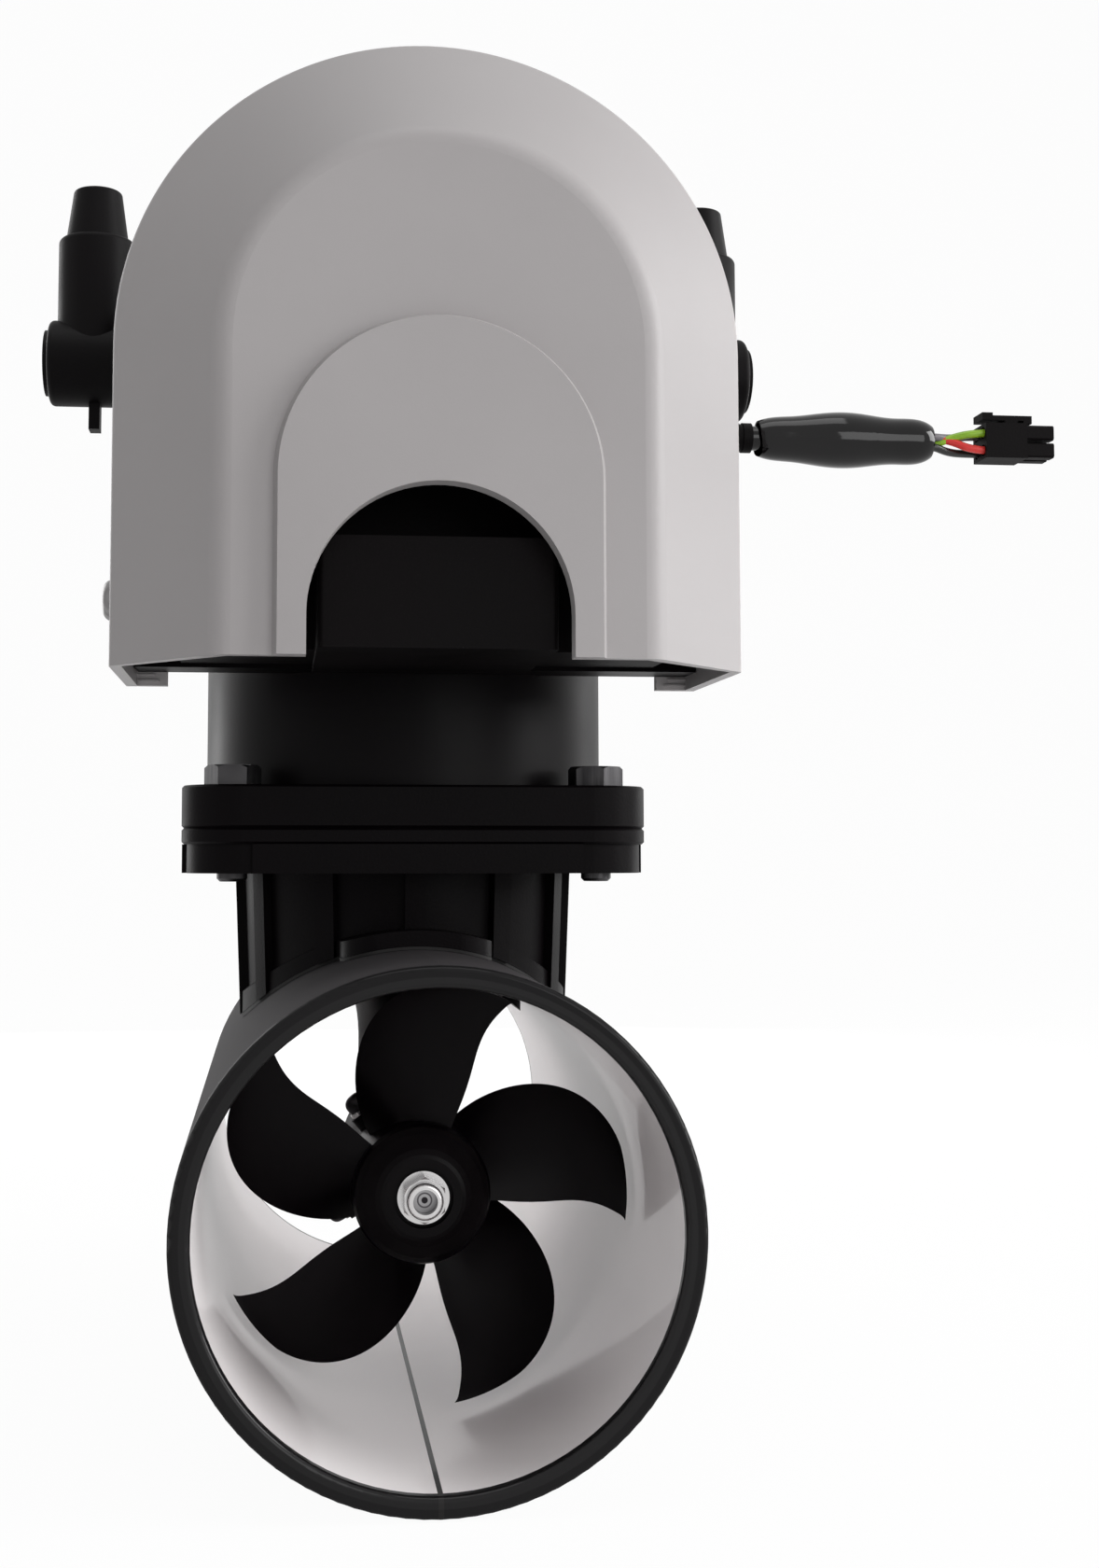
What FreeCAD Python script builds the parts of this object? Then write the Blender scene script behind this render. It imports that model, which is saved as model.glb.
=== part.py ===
import FreeCAD, Part
import math
import os

Vec = FreeCAD.Vector

# Bow thruster. Millimetres, +Z up along the motor, +X to the signal lead,
# -Y towards the propeller end. Origin: centre of the tunnel, on the motor's axis.

# ---------------------------------------------------------------- driving sizes
clear = 0.2                  # assembly clearance between fixed pieces
run_clear = 0.03             # radial running clearance of a shaft in its bore
joint_gap = 0.3              # sealed gap between curved faces

# tunnel
tunnel_bore_d = 110.0
tunnel_wall = 5.0
tunnel_length = 258.0
gasket_t = 1.0

# saddle flange on the tunnel
flange_side = 123.8
flange_corner_r = 16.0
plate_edge = 0.6
saddle_plate_t = 11.8
saddle_rise = 19.8            # saddle plate's underside above the tunnel's crown
ledge_t = 4.2
pad_step = 1.4
pad_inner_half = 43.0
skirt_top_r = 48.6
skirt_foot_r = 46.4
skirt_rib_count = 12
skirt_rib_w = 5.5
skirt_rib_h = 2.6
cup_r = 39.0
cup_floor_rise = 10.0
foot_half_w = 20.0
foot_half_l = 60.0
foot_t = 4.0

# flange bolts
bolt_d = 8.0
bolt_af = 13.0
bolt_head_h = 5.4
bolt_tip = 2.2
bolt_spacing = 97.0

# motor
motor_flange_t = 11.2
can_d = 114.0
can_wall = 6.0
can_height = 138.0
cap_rim_t = 6.0
cap_dome_h = 10.0
cap_screw_d = 3.0
cap_screw_count = 6
stator_length = 78.0
stator_bore_r = 31.0
slot_count = 12
slot_depth = 13.0
tooth_w = 8.5
coil_t = 2.6
magnet_count = 10
magnet_t = 3.4
air_gap = 0.8
motor_shaft_d = 12.0
motor_bearing_od = 28.0
motor_bearing_w = 8.0

# drive line in the leg
drive_shaft_d = 8.0
drive_bearing_od = 19.0
drive_bearing_w = 6.0
neck_d = 30.0
neck_rise = 6.0
seal_w = 5.0
leg_bolt_d = 5.0
leg_bolt_y = 22.0
leg_bolt_bite = 11.3
coupling_r = 15.0
coupling_hub_t = 6.5
coupling_jaw_h = 6.0

# bevel gears
gear_module = 1.25
pinion_teeth = 12
crown_teeth = 18
gear_face = 4.2
backlash = 0.22
pressure_angle = 20.0
tooth_height_above = 0.92
tooth_depth_below = 1.18
pinion_bore_d = 6.0
pinion_hub_l = 4.6
crown_hub_l = 3.4

# pod and propeller shaft
pod_r = 17.0
pod_front_y = -39.5
pod_joint_y = 13.0
pod_tail = 23.0
gear_room_r = 12.9
pod_screw_d = 3.0
prop_shaft_d = 10.0
prop_bearing_od = 22.0
prop_bearing_w = 6.0
prop_bearing_spacing = 7.0
prop_seal_od = 20.0
thread_d = 6.0
oil_plug_d = 6.4
oil_plug_y = -33.0
oil_plug_reach = 25.4
oil_boss_reach = 20.2

# propeller
blade_count = 5
prop_tip_r = 52.6
prop_pitch = 65.0
blade_edge_y = -68.0
blade_root_t = 4.2
blade_tip_t = 1.5
hub_r = 17.6
hub_back_y = -42.0
hub_front_y = -78.0
nose_r = 10.4
nut_recess = 2.0
pin_d = 4.0
pin_length = 24.0

# front cover
cover_half_w = 77.1
cover_arch_rise = 105.6      # heights of the cover are above the motor's seat
cover_bottom_rise = 26.7
cover_side_front_y = -96.0
cover_back_y = -42.0
cover_face_y = -125.0
face_half_w = 50.7
face_arch_drop = 6.8
cover_wall = 3.0
cover_lip = 11.0
plate_half_w = 38.6
plate_arch_rise = 41.1
plate_t = 2.6
mouth_half_w = 30.6
mouth_arch_rise = 9.5
cover_screw_rise = 19.5
lip_rib_count = 4
lip_rib_step = 1.5
cover_screw_y = -68.0
button_d = 10.6
button_h = 4.0

# controller
frame_front_y = -60.0
frame_back_y = -46.0
frame_bottom_rise = 3.5
fin_count = 9
fin_pitch = 11.0
case_depth = 36.0
board_rise = 33.0
board_gap = 8.0
board_t = 1.6
nose_half_w = 28.0
nose_depth = 60.0
nose_top_rise = 28.5
post_d = 6.0
capacitor_d = 18.0
capacitor_count = 4

# battery terminals and boots
terminal_x = 76.0
terminal_y = 11.0
terminal_drop = 10.3
block_h = 33.0
block_back_y = 27.0
stud_d = 8.0
stud_reach = 17.0
boot_x = 91.7
boot_height = 52.4
boot_barrel_r = 12.6
boot_sleeve_r = 11.3
boot_wall = 3.0
cable_entry_r = 5.2

# signal lead
lead_y = -49.0
lead_rise = 96.2
lead_d = 6.8
gland_end_x = 92.0
gland_nose_d = 8.2
sleeve_start_x = 94.0
sleeve_end_x = 143.0
sleeve_max_r = 7.7
wire_d = 2.2
plug_x = 157.5
plug_length = 19.6
plug_side = 9.8

# ------------------------------------------------------- sizes worked out once
tunnel_r = tunnel_bore_d / 2
tunnel_out_r = tunnel_r + tunnel_wall
saddle_seat_r = tunnel_out_r + gasket_t
saddle_plate_z = tunnel_out_r + saddle_rise
cup_floor_z = tunnel_out_r + cup_floor_rise
neck_top_z = tunnel_out_r + neck_rise
motor_seat_z = saddle_plate_z + saddle_plate_t
can_base_z = motor_seat_z + motor_flange_t
can_top_z = can_base_z + can_height
can_r = can_d / 2
can_in_r = can_r - can_wall
half_bolt = bolt_spacing / 2
drive_bore_r = drive_bearing_od / 2
gear_ratio_angle = math.atan2(pinion_teeth, crown_teeth)
cone_distance = gear_module * math.hypot(pinion_teeth, crown_teeth) / 2
cover_bottom_z = can_base_z + cover_bottom_rise
cover_arch_z = can_base_z + cover_arch_rise
face_arch_z = cover_arch_z - face_arch_drop
plate_arch_z = cover_bottom_z + plate_arch_rise
mouth_arch_z = cover_bottom_z + mouth_arch_rise
cover_screw_z = cover_bottom_z + cover_screw_rise
frame_bottom_z = cover_bottom_z + frame_bottom_rise
nose_top_z = cover_bottom_z + nose_top_rise
frame_half_w = cover_half_w - cover_wall - 0.4
terminal_z = can_top_z - terminal_drop
boot_top_z = terminal_z + boot_height
lead_z = can_base_z + lead_rise


# ------------------------------------------------------------------ small tools
def cylinder(radius, length, at, axis=(0, 0, 1)):
    return Part.makeCylinder(radius, length, Vec(*at), Vec(*axis))


def cone(r0, r1, length, at, axis=(0, 0, 1)):
    return Part.makeCone(r0, r1, length, Vec(*at), Vec(*axis))


def block(x0, x1, y0, y1, z0, z1):
    return Part.makeBox(x1 - x0, y1 - y0, z1 - z0, Vec(x0, y0, z0))


def polygon_face(points):
    return Part.Face(Part.makePolygon([Vec(*p) for p in points] + [Vec(*points[0])]))


def lathe_z(profile):
    """Turn a closed (radius, z) outline about the motor's axis."""
    face = polygon_face([(r, 0, z) for r, z in profile])
    return face.revolve(Vec(0, 0, 0), Vec(0, 0, 1), 360)


def lathe_y(profile):
    """Turn a closed (radius, y) outline about the propeller's axis."""
    face = polygon_face([(r, y, 0) for r, y in profile])
    return face.revolve(Vec(0, 0, 0), Vec(0, 1, 0), 360)


def fuse(shapes):
    whole = shapes[0]
    for shape in shapes[1:]:
        whole = whole.fuse(shape)
    return whole.removeSplitter()


def ring(items, angle_step, centre=(0, 0, 0), axis=(0, 0, 1), count=1):
    """Copies of one shape, turned about an axis."""
    copies = []
    for index in range(count):
        copy = items.copy()
        copy.rotate(Vec(*centre), Vec(*axis), index * angle_step)
        copies.append(copy)
    return copies


def arch_wire(half_w, bottom_z, arch_z, y):
    """A door shape in a plane of constant y: straight sides under a half circle."""
    left_foot = Vec(-half_w, y, bottom_z)
    right_foot = Vec(half_w, y, bottom_z)
    left_spring = Vec(-half_w, y, arch_z)
    right_spring = Vec(half_w, y, arch_z)
    crown = Part.Arc(left_spring, Vec(0, y, arch_z + half_w), right_spring).toShape()
    return Part.Wire([
        Part.makeLine(left_foot, left_spring),
        crown,
        Part.makeLine(right_spring, right_foot),
        Part.makeLine(right_foot, left_foot),
    ])


def arch_prism(half_w, bottom_z, arch_z, y0, y1):
    return Part.Face(arch_wire(half_w, bottom_z, arch_z, y0)).extrude(Vec(0, y1 - y0, 0))


def arch_taper(first, second):
    return Part.makeLoft([arch_wire(*first), arch_wire(*second)], True, True)


def rounded_square(half, corner_r, z0, z1, edge=0.0):
    body = block(-half, half, -half, half, z0, z1)
    body = body.makeFillet(corner_r, [e for e in body.Edges if is_vertical(e)])
    if edge > 0:
        body = body.makeChamfer(edge, [e for e in body.Edges if not is_vertical(e)])
    return body


def is_vertical(edge):
    first, last = edge.Vertexes[0].Point, edge.Vertexes[-1].Point
    return abs(first.x - last.x) < 1e-6 and abs(first.y - last.y) < 1e-6


def hexagon(across_flats, height, at, axis=(0, 0, 1), turn=0.0):
    corner_r = across_flats / math.sqrt(3)
    points = []
    for index in range(6):
        angle = math.radians(60 * index + turn)
        points.append((corner_r * math.cos(angle), corner_r * math.sin(angle), 0))
    prism = polygon_face(points).extrude(Vec(0, 0, height))
    crown = cone(corner_r + height, corner_r * 0.88, height * 1.0, (0, 0, 0))
    prism = prism.common(crown.fuse(cylinder(corner_r * 0.9, height, (0, 0, 0))))
    prism.Placement = FreeCAD.Placement(Vec(*at), FreeCAD.Rotation(Vec(0, 0, 1), Vec(*axis)))
    return prism


def save(name, shapes):
    group = shapes if isinstance(shapes, list) else [shapes]
    solids = [solid for shape in group for solid in shape.Solids]
    result = solids[0] if len(solids) == 1 else Part.makeCompound(solids)
    if not result.isValid():
        print("not valid:", name)
    result.exportStep("parts/" + name + ".step")
    print(name, len(solids), "solids", round(sum(s.Volume for s in solids) / 1000, 2), "cm3")


def at_bolts():
    return [(sx * half_bolt, sy * half_bolt) for sx in (-1, 1) for sy in (-1, 1)]


# ---------------------------------------------------------------------- tunnel
def leg_holes(radius_neck, radius_bolt, z0, z1):
    cuts = [cylinder(radius_neck, z1 - z0, (0, 0, z0))]
    for side in (-1, 1):
        cuts.append(cylinder(radius_bolt, z1 - z0, (0, side * leg_bolt_y, z0)))
    return fuse(cuts)


def tunnel():
    half = tunnel_length / 2
    tube = cylinder(tunnel_out_r, tunnel_length, (0, -half, 0), (0, 1, 0))
    tube = tube.cut(cylinder(tunnel_r, tunnel_length, (0, -half, 0), (0, 1, 0)))
    rims = [e for e in tube.Edges if abs(abs(e.CenterOfMass.y) - half) < 1e-6 and e.Closed]
    tube = tube.makeFillet(tunnel_wall * 0.24, rims)
    return tube.cut(leg_holes(neck_d / 2 + clear, leg_bolt_d / 2 + clear, 0, saddle_seat_r))


def saddle_footprint(z0, z1):
    """The saddle's outline on the tunnel, as a solid between two heights."""
    skirt = cylinder(skirt_foot_r, z1 - z0, (0, 0, z0))
    foot = block(-foot_half_w, foot_half_w, -foot_half_l, foot_half_l, z0, z1)
    foot = foot.makeFillet(foot_half_w * 0.45, [e for e in foot.Edges if is_vertical(e)])
    return skirt.fuse(foot)


def around_tunnel(radius):
    return cylinder(radius, tunnel_length, (0, -tunnel_length / 2, 0), (0, 1, 0))


def tunnel_gasket():
    sheet = saddle_footprint(0, saddle_seat_r).common(around_tunnel(saddle_seat_r - clear / 2))
    sheet = sheet.cut(around_tunnel(tunnel_out_r + clear / 2))
    return sheet.cut(leg_holes(neck_d / 2 + clear, leg_bolt_d / 2 + clear, 0, saddle_seat_r))


# ---------------------------------------------------------------------- saddle
def flange_plate(z0, z1, inset=0.0, edge=0.0):
    return rounded_square(flange_side / 2 - inset, flange_corner_r - inset, z0, z1, edge)


def saddle_flange():
    top_z = saddle_plate_z + saddle_plate_t
    ledge_z = top_z - ledge_t
    half = flange_side / 2
    long_bar = flange_plate(saddle_plate_z, ledge_z)
    bars = block(-pad_inner_half, pad_inner_half, -half, half, saddle_plate_z, ledge_z)
    bars = bars.fuse(block(-half, half, -pad_inner_half, pad_inner_half, saddle_plate_z, ledge_z))
    lower = flange_plate(saddle_plate_z, ledge_z, pad_step).fuse(bars.common(long_bar))
    skirt_h = saddle_plate_z
    core = cone(skirt_foot_r - skirt_rib_h - 1, skirt_top_r - skirt_rib_h, skirt_h, (0, 0, 0))
    wall = cone(skirt_foot_r - 1, skirt_top_r, skirt_h, (0, 0, 0))
    rib = block(-skirt_rib_w / 2, skirt_rib_w / 2, 0, skirt_top_r, 0, skirt_h)
    ribs = fuse(ring(rib, 360 / skirt_rib_count, count=skirt_rib_count)).common(wall)
    foot = saddle_footprint(0, saddle_plate_z - 1).common(around_tunnel(saddle_seat_r + foot_t))
    body = fuse([flange_plate(ledge_z, top_z, edge=plate_edge), lower, core, ribs, foot])
    body = body.cut(around_tunnel(saddle_seat_r))
    body = body.cut(block(-half, half, -half, half, -1, 0))
    body = body.cut(cylinder(cup_r, top_z, (0, 0, cup_floor_z)))
    body = body.cut(leg_holes(neck_d / 2 + clear / 2, leg_bolt_d / 2 + clear, 0, cup_floor_z + 1))
    for x, y in at_bolts():
        body = body.cut(cylinder(bolt_d / 2 + clear / 2, saddle_plate_t, (x, y, saddle_plate_z)))
    return body


def leg_bolt_tip_z():
    return tunnel_r - leg_bolt_bite


def leg_bolts():
    head_h = leg_bolt_d
    length = cup_floor_z - leg_bolt_tip_z()
    bolts = []
    for side in (-1, 1):
        at = (0, side * leg_bolt_y, cup_floor_z - length)
        shank = cylinder(leg_bolt_d / 2, length, at)
        head = cylinder(leg_bolt_d * 0.85, head_h, (0, side * leg_bolt_y, cup_floor_z))
        socket = hexagon(leg_bolt_d * 0.8, head_h, (0, side * leg_bolt_y, cup_floor_z + head_h / 2))
        bolts.append(shank.fuse(head).cut(socket).removeSplitter())
    return bolts


def flange_bolts():
    grip = motor_flange_t + saddle_plate_t + bolt_tip
    bolts = []
    for index, (x, y) in enumerate(at_bolts()):
        shank = cylinder(bolt_d / 2, grip, (x, y, can_base_z - grip))
        tip = [e for e in shank.Edges if abs(e.CenterOfMass.z - (can_base_z - grip)) < 1e-6]
        shank = shank.makeChamfer(bolt_d * 0.1, tip)
        head = hexagon(bolt_af, bolt_head_h, (x, y, can_base_z), turn=19 * index)
        bolts.append(shank.fuse(head).removeSplitter())
    return bolts


# ------------------------------------------------------------------- leg + pod
def leg_section(z, left, right, front, back):
    """One level of the leg: a rounded nose in front and a slim tail behind."""
    points = [
        Vec(0, front, z),
        Vec(right * 0.82, front * 0.62, z),
        Vec(right, 0, z),
        Vec(right * 0.62, back * 0.66, z),
        Vec(0, back, z),
        Vec(-left * 0.62, back * 0.66, z),
        Vec(-left, 0, z),
        Vec(-left * 0.82, front * 0.62, z),
    ]
    curve = Part.BSplineCurve()
    curve.interpolate(points, PeriodicFlag=True)
    return Part.Wire([curve.toShape()])


def leg():
    """The strut: slim at the pod, with a wide root that runs out into the foot."""
    levels = (
        (0.0, 12.6, 12.8, -36.0, 12.4),
        (16.0, 12.6, 14.4, -36.0, 13.6),
        (28.0, 12.8, 18.2, -36.5, 22.0),
        (38.0, 13.2, 23.0, -37.5, 30.0),
        (44.0, 14.5, 29.0, -39.0, 35.0),
        (tunnel_r, 20.0, 38.0, -42.0, 40.0),
    )
    strut = Part.makeLoft([leg_section(*level) for level in levels], True, False)
    foot = cylinder(34.0, tunnel_r, (0, 0, 0))
    foot = foot.cut(around_tunnel(tunnel_r - 3.0))
    return strut.fuse(foot).common(around_tunnel(tunnel_r - joint_gap))


def gear_housing():
    pod = lathe_y([
        (0, pod_front_y),
        (pod_r - 1.5, pod_front_y),
        (pod_r, pod_front_y + 1.5),
        (pod_r, pod_joint_y),
        (0, pod_joint_y),
    ])
    neck_start = tunnel_r - 4.0
    neck = cylinder(neck_d / 2, neck_top_z - neck_start, (0, 0, neck_start))
    boss = cylinder(oil_plug_d / 2 + 0.9, oil_boss_reach - pod_r * 0.7, (pod_r * 0.7, oil_plug_y, 0),
                    (1, 0, 0))
    body = fuse([pod, leg(), neck] + at_oil_plugs(boss))
    bearing_r = prop_bearing_od / 2
    first_y = crown_back_y() - clear
    last_y = first_y - 2 * prop_bearing_w - prop_bearing_spacing
    cuts = [
        cylinder(gear_room_r, pod_joint_y - crown_back_y(), (0, crown_back_y(), 0), (0, 1, 0)),
        cylinder(bearing_r + run_clear, crown_back_y() - last_y + clear,
                 (0, last_y - clear, 0), (0, 1, 0)),
        cylinder(prop_shaft_d / 2 + 2, -pod_front_y, (0, pod_front_y, 0), (0, 1, 0)),
        cylinder(prop_seal_od / 2 + run_clear, seal_w + clear, (0, pod_front_y, 0), (0, 1, 0)),
        cylinder(drive_bore_r - 0.7, neck_top_z, (0, 0, 0)),
        cylinder(drive_bore_r + run_clear, neck_top_z, (0, 0, lower_bearing_z() - clear)),
        cylinder(pod_r + clear, pod_tail * 2, (0, pod_joint_y, 0), (0, 1, 0)),
    ]
    for cut in cuts:
        body = body.cut(cut)
    tip_x = prop_bearing_od / 2 + 2.5 - clear / 4
    drilling = cylinder(oil_plug_d * 0.31 + clear / 4, oil_boss_reach, (tip_x, oil_plug_y, 0), (1, 0, 0))
    for hole in at_oil_plugs(drilling):
        body = body.cut(hole)
    for side in (-1, 1):
        hole_z = leg_bolt_tip_z() - 1.5
        body = body.cut(cylinder(leg_bolt_d / 2 + clear / 2, tunnel_out_r - hole_z,
                                 (0, side * leg_bolt_y, hole_z)))
    for shape in at_pod_screws(pod_screw_d / 2 + clear / 2, 9, pod_joint_y - 8):
        body = body.cut(shape)
    groove_z = neck_seal_z()
    body = body.cut(Part.makeTorus(neck_d / 2 - neck_seal_r() + clear, neck_seal_r() + 0.1,
                                   Vec(0, 0, groove_z)))
    return body


def neck_seal_r():
    return 1.2


def neck_seal_z():
    return neck_top_z - (neck_top_z - saddle_seat_r) / 2


def neck_seal():
    ring_r = neck_d / 2 - neck_seal_r() + clear
    return Part.makeTorus(ring_r, neck_seal_r(), Vec(0, 0, neck_seal_z())).common(
        cylinder(neck_d / 2 + clear / 2 - 0.02, neck_top_z, (0, 0, 0)))


def at_oil_plugs(shape):
    """Two places on the pod's port side, filler above and drain below."""
    placed = []
    for angle in (130, 208):
        copy = shape.copy()
        copy.rotate(Vec(0, 0, 0), Vec(0, -1, 0), angle)
        placed.append(copy)
    return placed


def oil_plugs():
    head_h = oil_plug_reach - oil_boss_reach - 1.1 - clear
    head_at = oil_plug_reach - head_h
    tip_x = prop_bearing_od / 2 + 2.5
    shank = cylinder(oil_plug_d * 0.31, head_at - tip_x, (tip_x, oil_plug_y, 0), (1, 0, 0))
    head = cylinder(oil_plug_d / 2, head_h, (head_at, oil_plug_y, 0), (1, 0, 0))
    rim = [e for e in head.Edges if abs(e.CenterOfMass.x - oil_plug_reach) < 1e-6]
    head = head.makeFillet(head_h * 0.62, rim)
    return at_oil_plugs(shank.fuse(head).removeSplitter())


def oil_washers():
    washer = cylinder(oil_plug_d / 2 + 0.3, 1.1, (oil_boss_reach + clear / 4, oil_plug_y, 0), (1, 0, 0))
    bore = cylinder(oil_plug_d * 0.31 + clear / 4, 9, (oil_boss_reach - 2, oil_plug_y, 0), (1, 0, 0))
    return at_oil_plugs(washer.cut(bore))


def at_pod_screws(radius, length, y):
    place_r = (gear_room_r + pod_r) / 2 + 0.2
    first = cylinder(radius, length, (place_r * math.cos(math.pi / 4), y,
                                      place_r * math.sin(math.pi / 4)), (0, 1, 0))
    return ring(first, 90, axis=(0, 1, 0), count=4)


def pod_cap():
    tail_y = pod_joint_y + pod_tail
    dome_points = [(0, pod_joint_y), (pod_r, pod_joint_y), (pod_r, pod_joint_y + 3)]
    steps = 8
    for index in range(1, steps):
        angle = math.pi / 2 * index / steps
        dome_points.append((pod_r * math.cos(angle), pod_joint_y + 3 + (pod_tail - 3) * math.sin(angle)))
    dome_points.append((0, tail_y))
    dome = lathe_y(dome_points)
    spigot = cylinder(gear_room_r - clear, 4.0, (0, pod_joint_y - 4.0, 0), (0, 1, 0))
    cap = dome.fuse(spigot)
    cap = cap.cut(Part.makeTorus(gear_room_r - 1.0, 1.05, Vec(0, pod_joint_y - 2.0, 0), Vec(0, 1, 0)))
    for hole in at_pod_screws(pod_screw_d / 2 + clear / 2, pod_tail, pod_joint_y):
        cap = cap.cut(hole)
    for seat in at_pod_screws(pod_screw_d + 0.1, pod_tail, pod_joint_y + 3.2):
        cap = cap.cut(seat)
    return cap.removeSplitter()


def pod_cap_seal():
    seal = Part.makeTorus(gear_room_r - 1.0, 0.95, Vec(0, pod_joint_y - 2.0, 0), Vec(0, 1, 0))
    return seal.common(cylinder(gear_room_r - 0.05, 8, (0, pod_joint_y - 6.0, 0), (0, 1, 0)))


def pod_cap_screws():
    shanks = at_pod_screws(pod_screw_d / 2, 3.2 + 7, pod_joint_y - 7)
    heads = at_pod_screws(pod_screw_d * 0.92, pod_screw_d, pod_joint_y + 3.2)
    return [shank.fuse(head).removeSplitter() for shank, head in zip(shanks, heads)]


# ---------------------------------------------------------------------- gears
def root_tilt():
    return math.atan(gear_module * tooth_depth_below / cone_distance)


def gear_rim(cone_angle):
    """Height of a gear's outer rim above the crossing of the two shafts."""
    return cone_distance / math.cos(root_tilt()) * math.cos(cone_angle - root_tilt())


def bevel_gear(teeth, cone_angle, bore_r, hub_r_out, back_length):
    """Straight bevel gear on +Z with its cone's tip at the origin."""
    pitch_r = gear_module * teeth / 2
    addendum = gear_module * tooth_height_above
    dedendum = gear_module * tooth_depth_below
    inner_distance = cone_distance - gear_face
    root_angle = cone_angle - root_tilt()
    back_r = pitch_r / math.cos(cone_angle)
    base_r = back_r * math.cos(math.radians(pressure_angle))
    flank = pitch_half_angle(back_r)
    pitch_line = Vec(math.sin(cone_angle), 0, math.cos(cone_angle))

    def direction(height, side):
        rho = back_r + height
        spread = flank - involute(base_r, rho) + involute(base_r, back_r)
        azimuth = side * spread / math.cos(cone_angle)
        tilt = cone_angle + math.atan(height / cone_distance)
        return Vec(math.sin(tilt) * math.cos(azimuth), math.sin(tilt) * math.sin(azimuth),
                   math.cos(tilt))

    def outline(distance):
        heights = [-dedendum - 0.15, -dedendum * 0.5, 0.0, addendum * 0.5, addendum]
        ways = [direction(h, -1) for h in heights] + [direction(h, 1) for h in reversed(heights)]
        corners = [way * (distance / way.dot(pitch_line)) for way in ways]
        return Part.makePolygon(corners + [corners[0]])

    tooth = Part.makeLoft([outline(cone_distance), outline(inner_distance)], True, True)
    root_out = cone_distance / math.cos(root_tilt())
    root_in = inner_distance / math.cos(root_tilt())
    rim_r = root_out * math.sin(root_angle)
    rim_z = root_out * math.cos(root_angle)
    blank = lathe_z([
        (bore_r, root_in * math.cos(root_angle) + 0.3),
        (root_in * math.sin(root_angle), root_in * math.cos(root_angle)),
        (rim_r, rim_z),
        (max(rim_r - 1.0, hub_r_out), rim_z + 1.6),
        (hub_r_out, rim_z + 1.6),
        (hub_r_out, rim_z + back_length),
        (bore_r, rim_z + back_length),
    ])
    return fuse([blank] + ring(tooth, 360 / teeth, count=teeth))


def pitch_half_angle(back_r):
    return (math.pi * gear_module / 2 - backlash) / 2 / back_r


def involute(base_r, rho):
    if rho <= base_r:
        return 0.0
    angle = math.acos(base_r / rho)
    return math.tan(angle) - angle


def drive_pinion():
    gear = bevel_gear(pinion_teeth, gear_ratio_angle, pinion_bore_d / 2 + run_clear,
                      pinion_bore_d / 2 + 2.6, pinion_hub_l)
    gear.rotate(Vec(0, 0, 0), Vec(0, 0, 1), -90)
    return gear


def lower_bearing_z():
    return gear_rim(gear_ratio_angle) + pinion_hub_l + clear


def upper_bearing_z():
    return neck_top_z - seal_w - 2 * drive_bearing_w


def crown_gear():
    """The driven gear on the propeller shaft, with a tooth gap facing the pinion."""
    gear = bevel_gear(crown_teeth, math.pi / 2 - gear_ratio_angle,
                      prop_shaft_d / 2 + run_clear, prop_shaft_d / 2 + 2.2, crown_hub_l)
    gear.rotate(Vec(0, 0, 0), Vec(0, 0, 1), 180 / crown_teeth)
    gear.rotate(Vec(0, 0, 0), Vec(1, 0, 0), 90)
    gear.rotate(Vec(0, 0, 0), Vec(0, 1, 0), -90)
    return gear


def crown_back_y():
    return -(gear_rim(math.pi / 2 - gear_ratio_angle) + crown_hub_l + clear)


# ------------------------------------------------------------ bearings and seals
def bearing_rings(bore_r, outer_r, width, at, axis):
    """A sealed ball bearing as its outer and its inner ring."""
    middle_r = (bore_r + outer_r) / 2
    outer = cylinder(outer_r, width, at, axis).cut(cylinder(middle_r + clear, width, at, axis))
    inner = cylinder(middle_r - clear, width, at, axis)
    inner = inner.cut(cylinder(bore_r + run_clear, width, at, axis))
    return outer, inner


def drive_bearings():
    pairs = [
        bearing_rings(drive_shaft_d / 2, drive_bore_r, drive_bearing_w, (0, 0, z), (0, 0, 1))
        for z in (lower_bearing_z(), upper_bearing_z())
    ]
    return [pair[0] for pair in pairs], [pair[1] for pair in pairs]


def prop_bearing_starts():
    rear = crown_back_y() - clear - prop_bearing_w
    return rear, rear - prop_bearing_spacing - prop_bearing_w


def prop_bearings():
    pairs = [
        bearing_rings(prop_shaft_d / 2, prop_bearing_od / 2, prop_bearing_w, (0, y, 0), (0, 1, 0))
        for y in prop_bearing_starts()
    ]
    return [pair[0] for pair in pairs], [pair[1] for pair in pairs]


def shaft_spacer():
    rear, front = prop_bearing_starts()
    start = front + prop_bearing_w + clear / 4
    length = prop_bearing_spacing - clear / 2
    sleeve = cylinder(prop_shaft_d / 2 + 2, length, (0, start, 0), (0, 1, 0))
    return sleeve.cut(cylinder(prop_shaft_d / 2 + run_clear, length, (0, start, 0), (0, 1, 0)))


def motor_bearing_starts():
    return can_base_z - motor_bearing_w, can_top_z - 4.0 - motor_bearing_w


def motor_bearings():
    pairs = [
        bearing_rings(motor_shaft_d / 2, motor_bearing_od / 2, motor_bearing_w,
                      (0, 0, z), (0, 0, 1))
        for z in motor_bearing_starts()
    ]
    return [pair[0] for pair in pairs], [pair[1] for pair in pairs]


def lip_seal(shaft_r, outer_r, width, at, axis):
    """Oil seal: a cased ring with a hollow back and a lip on the shaft."""
    seal = cylinder(outer_r, width, at, axis)
    seal = seal.cut(cylinder(shaft_r + run_clear, width, at, axis))
    hollow = cylinder(outer_r - 1.2, width * 0.6, at, axis)
    hollow = hollow.cut(cylinder(shaft_r + 1.4, width * 0.6, at, axis))
    return seal.cut(hollow)


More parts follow.
